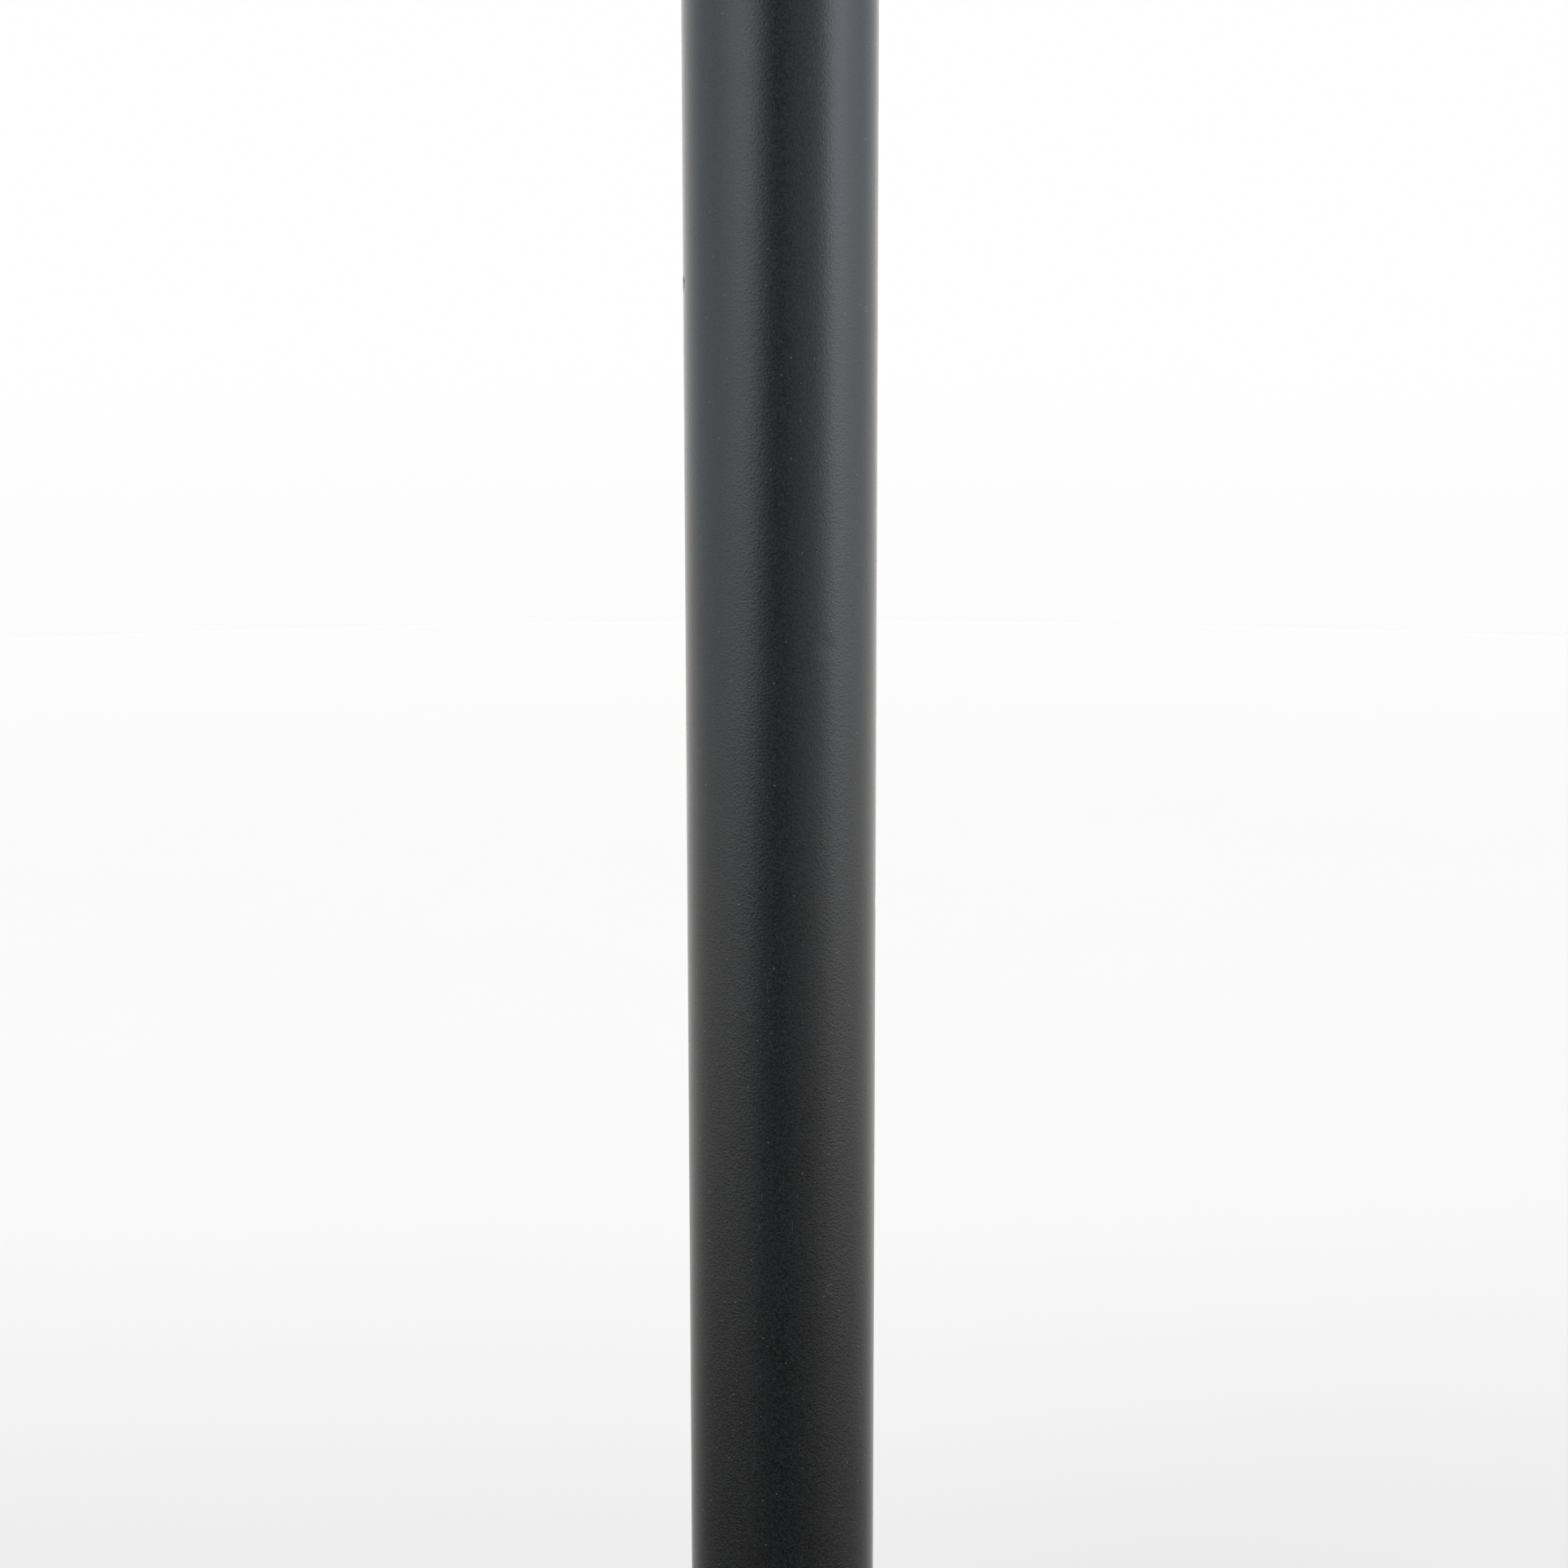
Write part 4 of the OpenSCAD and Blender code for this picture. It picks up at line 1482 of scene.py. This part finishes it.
    def posts(self) -> None:
        """The three turned posts, and the rubber washers under them."""
        box = Extent.of("canopy_posts")
        foot = Extent.of("post_washers").top
        radius, stud, chamfer = 6 * MM, 2.95 * MM, 0.8 * MM
        outline = rounded([
            (0.0, box.bottom, 0.0), (stud, box.bottom, 0.4 * MM), (stud, foot, 0.0),
            (radius - chamfer, foot, 0.2 * MM), (radius, foot + chamfer, 0.3 * MM),
            (radius, box.top - chamfer, 0.3 * MM), (radius - chamfer, box.top, 0.2 * MM), (0.0, box.top, 0.0),
        ], 3)
        posts = self.repeat("turned_posts", lambda: self.standing(outline, self.post_circle), self.thirds)
        self.hand_over(posts, self.finishes.post, "stainless", "head", "canopy_posts")
        ring = Extent.of("post_washers")
        self.rubber_rings("rubber_washers", ring, self.stud_hole, 8 * MM, 0.3 * MM, "post_washers")

    def rubber_rings(
        self, name: str, box: Extent, bore: float, radius: float, edge: float, node: str
    ) -> None:
        """Three flat rubber rings on the post circle.

        Args:
            name: Name of the piece.
            box: Where the rings are.
            bore: Radius of their holes.
            radius: Radius of the rings.
            edge: Rounding of their upper outer edge.
            node: The CAD node that they stand for.
        """
        fine = 0.2 * MM
        flat = rounded([
            (bore, box.bottom, fine), (radius, box.bottom, fine),
            (radius, box.top, edge), (bore, box.top, fine),
        ], 3)
        rings = self.repeat(name, lambda: self.standing(flat, self.post_circle), self.thirds)
        self.hand_over(rings, self.finishes.rubber, "black_rubber", "head", node)

    def canopy(self) -> None:
        """The pressed dome, with a turned-down lip, three bosses under it and seats for its screws."""
        box = Extent.of("canopy")
        lip = box.bottom
        brow = lip + 6 * MM
        rise = box.top - brow
        sphere = (box.radius**2 + rise**2) / (2 * rise)
        centre = (0.0, box.top - sphere)
        inner, inner_rim = sphere - self.dome_wall, box.radius - self.dome_wall
        edge = math.degrees(math.acos((box.radius - 0.6 * MM) / sphere))
        inner_edge = math.degrees(math.acos((inner_rim - 0.3 * MM) / inner))
        outside = arc(centre, sphere, 90, edge, 40)
        inside = arc(centre, inner, inner_edge, 90, 40)
        corners = [
            (0.0, box.top, 0.0), *outside[1:], (box.radius, brow - 0.6 * MM, 0.4 * MM),
            (box.radius, lip, 1.0 * MM), (inner_rim, lip, 0.8 * MM), (inner_rim, brow - 1.6 * MM, 0.4 * MM),
            *inside[:-1], (0.0, centre[1] + inner, 0.0),
        ]
        dome = turn("domed_canopy", rounded(corners), 224)
        post_top = Extent.of("canopy_posts").top

        def boss() -> Piece:
            """Makes one boss under the dome.

            Returns:
                The boss, whose top follows the dome inside its wall.
            """
            made = peg(9.5 * MM, (self.post_circle, 0, post_top), (self.post_circle, 0, box.top))
            put_down()
            bpy.ops.mesh.primitive_uv_sphere_add(
                segments=160, ring_count=96, radius=sphere - MM, location=(0, 0, centre[1])
            )
            carve(made, [settle(bpy.context.object)], "INTERSECT")
            return made

        carve(dome, around(boss, self.thirds), "UNION")
        seat = Extent.of("canopy_seals").bottom
        carve(dome, upright(self.screw_seat, self.post_circle, seat, box.top + MM, self.thirds))
        low = post_top - MM
        carve(dome, upright(self.screw_hole, self.post_circle, low, box.top, self.thirds, sides=32))
        self.hand_over(dome, self.finishes.dome, "black_paint", "head", "canopy")

    def screws(self) -> None:
        """The canopy's button-head screws and the rubber seals under them."""
        box = Extent.of("canopy_screws")
        seal = Extent.of("canopy_seals")
        length = seal.top - box.bottom

        def screw() -> Piece:
            """Makes one screw.

            Returns:
                The screw, on the post circle.
            """
            made = button_screw(
                radius=2.45 * MM, head_radius=4.75 * MM, head_height=2.75 * MM, length=length, socket=3 * MM
            )
            made.location = (self.post_circle, 0, seal.top)
            return settle(made)

        screws = self.repeat("canopy_button_screws", screw, self.thirds)
        self.hand_over(screws, self.finishes.turned, "stainless", "head", "canopy_screws")
        self.rubber_rings("screw_seals", seal, self.screw_hole, 6 * MM, 0.4 * MM, "canopy_seals")

    def lock_bezel(self) -> None:
        """The turned bezel that the lock spindle turns in."""
        box = Extent.of("lock_bezel")
        bore, radius, flange, key = self.bezel_bore, self.bezel_radius, self.bezel_flange, self.key_recess
        back = box.high.y
        depth = -box.low.y
        shoulder = self.bezel_shoulder
        tip = self.bezel_face - self.key_depth
        corners = [
            (bore, -back, 0.0), (radius, -back, 0.3 * MM), (radius, shoulder, 0.0),
            (flange, shoulder, 0.3 * MM), (flange - 1.5 * MM, depth, 0.5 * MM), (key, depth, 0.4 * MM),
            (key, tip, 0.0), (bore, tip, 0.2 * MM),
        ]
        bezel = turn("lock_bezel_ring", rounded(corners, 4), 128)
        to_front(bezel, self.lock_axis())
        self.hand_over(bezel, self.finishes.turned, "stainless", "head", "lock_bezel")


def to_front(piece: Piece, height: float) -> Piece:
    """Turns a piece that was modelled along +Z so that it points out of the front.

    Args:
        piece: The piece.
        height: Height at which it points out.

    Returns:
        The same piece.
    """
    piece.rotation_euler = (math.pi / 2, 0, 0)
    piece.location = (0, 0, height)
    return settle(piece)


@dataclass
class Lock(SubAssembly):
    """The quarter-turn spindle with its seal and clip."""

    barrel: float = 7 * MM
    collar: float = 8.2 * MM
    key: float = 5.6 * MM
    flat: float = 4.2 * MM

    def build(self) -> None:
        """Makes the spindle and dresses the seal and the clip."""
        self.spindle()
        self.dress_node("spindle_seal", self.finishes.rubber, "black_rubber")
        self.dress_node("spindle_clip", self.finishes.zinc, "zinc_steel")

    def spindle(self) -> None:
        """A turned barrel with two flats at its inner end and a triangular key head in front."""
        box = Extent.of("lock_spindle")
        seal, clip = Extent.of("spindle_seal"), Extent.of("spindle_clip")
        inner, front = -box.high.y, -box.low.y
        shoulder = 49.5 * MM
        collar_end = shoulder + 1.5 * MM
        grooves = [
            (-clip.high.y - 0.05 * MM, -clip.low.y + 0.05 * MM, 6.0 * MM),
            (-seal.high.y - 0.1 * MM, -seal.low.y + 0.1 * MM, 5.7 * MM),
        ]
        corners: list[Corner] = [(0.0, inner, 0.0), (self.barrel, inner, 0.6 * MM)]
        for start, end, radius in grooves:
            corners += [(self.barrel, start, 0.0), (radius, start, 0.0)]
            corners += [(radius, end, 0.0), (self.barrel, end, 0.0)]
        corners += [
            (self.barrel, shoulder, 0.0), (self.collar, shoulder, 0.2 * MM),
            (self.collar, collar_end, 0.3 * MM), (0.0, collar_end, 0.0),
        ]
        spindle = turn("key_spindle", rounded(corners, 3), 96)
        key = peg(self.key, (0, 0, collar_end - 0.5 * MM), (0, 0, front), sides=3)
        highest = max(vertex.co.y for vertex in key.data.vertices)
        key.rotation_euler.z = 0.0 if highest > 0.9 * self.key else math.pi
        ease_edges(settle(key), 0.4 * MM, 3)
        carve(spindle, [key], "UNION")
        to_front(spindle, Head.lock_axis())
        self.cut_flats(spindle)
        self.hand_over(spindle, self.finishes.turned, "stainless", "lock", "lock_spindle")

    def cut_flats(self, spindle: Piece) -> None:
        """Mills the two flats that pass the neck of the column's notch.

        Args:
            spindle: The spindle, in its place.
        """
        stop = -Extent.of("lock_bezel").high.y - 1.4 * MM
        size = (10 * MM, 20 * MM, 20 * MM)
        out, height = self.flat + size[0] / 2, Head.lock_axis()
        carve(spindle, [block((side * out, size[1] / 2 - stop, height), size) for side in (-1, 1)])


@dataclass
class Canister(SubAssembly):
    """The butt canister that hangs inside the column."""

    wall: float = MM
    drain_circle: float = 18 * MM
    rivet_angle: float = 15.0

    def build(self) -> None:
        """Makes the tube, its base and its glide ring, and dresses what stays from the frame."""
        f = self.finishes
        self.tube()
        self.base()
        self.glide_ring()
        self.dress_node("canister_collar", f.cast, "bare_aluminium")
        self.dress_node("canister_rivets", f.cast, "bare_aluminium")
        self.dress_node("bayonet_pins", f.zinc, "zinc_steel")

    def tube(self) -> None:
        """The thin drawn tube, with its four rivet holes."""
        box = Extent.of("canister_tube")
        bore = box.radius - self.wall
        outline = rounded([
            (bore, box.bottom, 0.25 * MM), (box.radius, box.bottom, 0.35 * MM),
            (box.radius, box.top, 0.35 * MM), (bore, box.top, 0.25 * MM),
        ], 3)
        tube = turn("drawn_canister", outline, 192)
        angles = [self.rivet_angle + quarter for quarter in self.quarters]
        carve(tube, level(1.6 * MM, 25 * MM, 40 * MM, Extent.of("canister_rivets").middle, angles, sides=32))
        self.hand_over(tube, self.finishes.drawn, "bare_aluminium", "canister", "canister_tube")

    def base(self) -> None:
        """The pressed cup that closes the canister, open downwards, with six drain holes."""
        box = Extent.of("canister_base")
        wall = self.wall
        corners = [
            (box.radius - wall, box.bottom, 0.3 * MM), (box.radius, box.bottom, 0.3 * MM),
            (box.radius, box.top, 1.2 * MM), (0.0, box.top, 0.0), (0.0, box.top - wall, 0.0),
            (box.radius - wall, box.top - wall, 0.5 * MM),
        ]
        cup = turn("canister_foot_cup", rounded(corners), 160)
        angles = [60 * i for i in range(6)]
        carve(cup, upright(2 * MM, self.drain_circle, box.bottom, box.top + MM, angles, sides=32))
        self.hand_over(cup, self.finishes.cast, "bare_aluminium", "canister", "canister_base")

    def glide_ring(self) -> None:
        """The turned nylon ring that keeps the canister off the column's bore."""
        box = Extent.of("glide_ring")
        bore = Extent.of("canister_tube").radius + 0.02 * MM
        outline = rounded([
            (bore, box.bottom, 0.0), (box.radius, box.bottom, 0.8 * MM),
            (box.radius, box.top, 0.8 * MM), (bore, box.top, 0.0),
        ])
        ring = turn("nylon_glide", outline, 160)
        self.hand_over(ring, self.finishes.nylon, "natural_nylon", "canister", "glide_ring")


# ---------------------------------------------------------------- studio


@dataclass(frozen=True)
class Studio:
    """A white studio: soft light from the left and the right, a dim room in front, a pale floor."""

    floor_radius: float = 3.8
    floor_tone: tuple[float, float, float] = (0.836, 0.803, 0.769)
    distance: float = 1.289
    camera_height: float = 0.70
    pitch: float = 10.7
    yaw: float = 0.049
    roll: float = -0.075
    lens: float = 75.0
    level_light: tuple[Point, ...] = (
        (-180, 1.4), (-110, 1.15), (-78, 1.35), (-62, 1.9), (-45, 2.5), (-33, 2.2), (-20, 1.0), (-10, 0.3),
        (0, 0.28), (20, 0.6), (42, 0.85), (54, 1.6), (66, 3.6), (80, 2.95), (95, 2.0), (115, 1.25),
        (135, 1.1), (180, 1.4),
    )
    middle_light: tuple[Point, ...] = (
        (-180, 1.0), (-110, 0.95), (-68, 1.25), (-45, 0.9), (-25, 0.22), (0, 0.27), (25, 0.6), (50, 1.15),
        (72, 1.55), (110, 1.2), (180, 1.0),
    )
    low_light: tuple[Point, ...] = (
        (-180, 0.8), (-110, 0.2), (-68, 0.05), (-30, 0.15), (0, 0.05), (45, 0.07), (90, 0.25), (130, 0.4),
        (180, 0.8),
    )
    middle_pitch: float = -12.0
    low_pitch: float = -24.0
    ceiling_light: float = 1.0

    def light(self) -> None:
        """Lights the scene with a world whose brightness depends on direction."""
        world = bpy.data.worlds.new("studio_light")
        bpy.context.scene.world = world
        g = Graph(world)
        nodes, links = g.tree.nodes, g.tree.links
        nodes.clear()
        direction = nodes.new("ShaderNodeTexCoord").outputs["Generated"]
        x, y, z = g.axes(direction)
        bearing = g.plus(g.maths("DIVIDE", g.maths("ARCTAN2", x, g.times(y, -1.0)), math.tau), 0.5)
        pitch = g.times(g.maths("ARCSINE", z), 180 / math.pi)
        rings = (self.low_light, self.middle_light, self.level_light)
        below, half, ahead = (self.ring(g, bearing, ring) for ring in rings)
        side = g.tint(g.ramp(pitch, self.low_pitch, self.middle_pitch), below, half)
        side = g.tint(g.ramp(pitch, self.middle_pitch, 0.0), side, ahead)
        cool = g.times(g.window(pitch, -14.0, 4.0), g.window(y, 0.95, 0.3))
        cool = g.tint(cool, (1.01, 0.99, 0.97), (0.9, 1.0, 1.1))
        side = g.blend(1.0, side, cool, "MULTIPLY")
        bright = g.tint(g.ramp(pitch, 22.0, 60.0), side, (self.ceiling_light,) * 3)
        room = g.node("ShaderNodeBackground", Color=bright, Strength=1.0)
        backdrop = g.tint(g.window(pitch, -9.0, -3.0), (0.972,) * 3, (0.995,) * 3)
        wall = g.node("ShaderNodeBackground", Color=backdrop, Strength=1.0)
        seen = nodes.new("ShaderNodeLightPath").outputs["Is Camera Ray"]
        mix = nodes.new("ShaderNodeMixShader")
        links.new(seen, mix.inputs[0])
        links.new(room.outputs[0], mix.inputs[1])
        links.new(wall.outputs[0], mix.inputs[2])
        links.new(mix.outputs[0], nodes.new("ShaderNodeOutputWorld").inputs["Surface"])
        LOG.info("lit the studio")

    @staticmethod
    def ring(g: Graph, bearing: Value, stops: Sequence[Point]) -> Socket:
        """Brightness round the horizon.

        Args:
            g: The world's nodes.
            bearing: Direction from the back round to the back again, from 0 to 1.
            stops: (bearing in degrees, brightness) of each stop, in order.

        Returns:
            The brightness, in straight lines from stop to stop.
        """
        curve = g.node("ShaderNodeFloatCurve", Value=bearing)
        points = curve.mapping.curves[0].points
        top = 4.0
        places = [((b + 180) / 360, value / top) for b, value in stops]
        points[0].location, points[1].location = places[0], places[-1]
        for place in places[1:-1]:
            points.new(*place)
        for point in points:
            point.handle_type = "VECTOR"
        curve.mapping.update()
        return g.times(curve.outputs[0], top)

    def floor(self) -> None:
        """A pale floor: a round flat sheet with an inset ring, its colour darkened towards the front as
        painted shade and lifted a little towards its rim as painted light.
        """
        put_down()
        bpy.ops.mesh.primitive_circle_add(vertices=256, radius=self.floor_radius, fill_type="NGON")
        floor = bpy.context.object
        floor.name = "studio_floor"
        bpy.ops.object.mode_set(mode="EDIT")
        bpy.ops.mesh.select_all(action="SELECT")
        bpy.ops.mesh.inset(thickness=0.4)
        bpy.ops.object.mode_set(mode="OBJECT")
        g = Graph.of_material("pale_floor")
        x, y, _ = g.axes(g.places())
        far = g.reach(x, y)
        # painted shade: 0 at the back and 1 towards the front, where the floor's colour is darkened
        painted_front_shade = g.window(y, 1.0, -0.5)
        mottle = g.noise(g.places(), 0.35, 4.0, 0.6)
        tone = g.tint(mottle, [0.985 * c for c in self.floor_tone], self.floor_tone)
        # painted shade: towards the front the floor's colour falls to 0.8 of its tone
        tone = g.tint(painted_front_shade, tone, [0.8 * c for c in self.floor_tone])
        # painted light: far out the floor's colour rises to 1.02 of its tone, to blend into the backdrop
        tone = g.tint(g.window(far, 2.2, self.floor_radius), tone, [1.02 * c for c in self.floor_tone])
        floor.data.materials.append(g.dress(Base_Color=tone, Roughness=0.7, Specular_IOR_Level=0.2))
        floor.visible_glossy = False

    def camera(self) -> None:
        """Sets the camera in front of the column, a little above its middle and looking down."""
        data = bpy.data.cameras.new("studio_camera")
        data.sensor_width, data.lens = 36.0, self.lens
        camera = bpy.data.objects.new("studio_camera", data)
        bpy.context.collection.objects.link(camera)
        camera.location = (0, -self.distance, self.camera_height)
        camera.rotation_euler = (
            Matrix.Rotation(math.radians(-self.yaw), 3, "Z")
            @ Matrix.Rotation(math.radians(90 - self.pitch), 3, "X")
            @ Matrix.Rotation(math.radians(self.roll), 3, "Z")
        ).to_euler()
        bpy.context.scene.camera = camera
        bpy.context.scene.view_settings.view_transform = "Standard"
        LOG.info("set the camera")


def main() -> None:
    """Builds the studio and every sub-assembly."""
    logging.basicConfig(level=logging.INFO, format="%(message)s")
    studio = Studio()
    studio.camera()
    studio.light()
    studio.floor()
    finishes = Finishes()
    for part in (Foot, ColumnPost, Head, Lock, Canister):
        part(finishes).build()
    put_down()


if __name__ == "__main__":
    main()
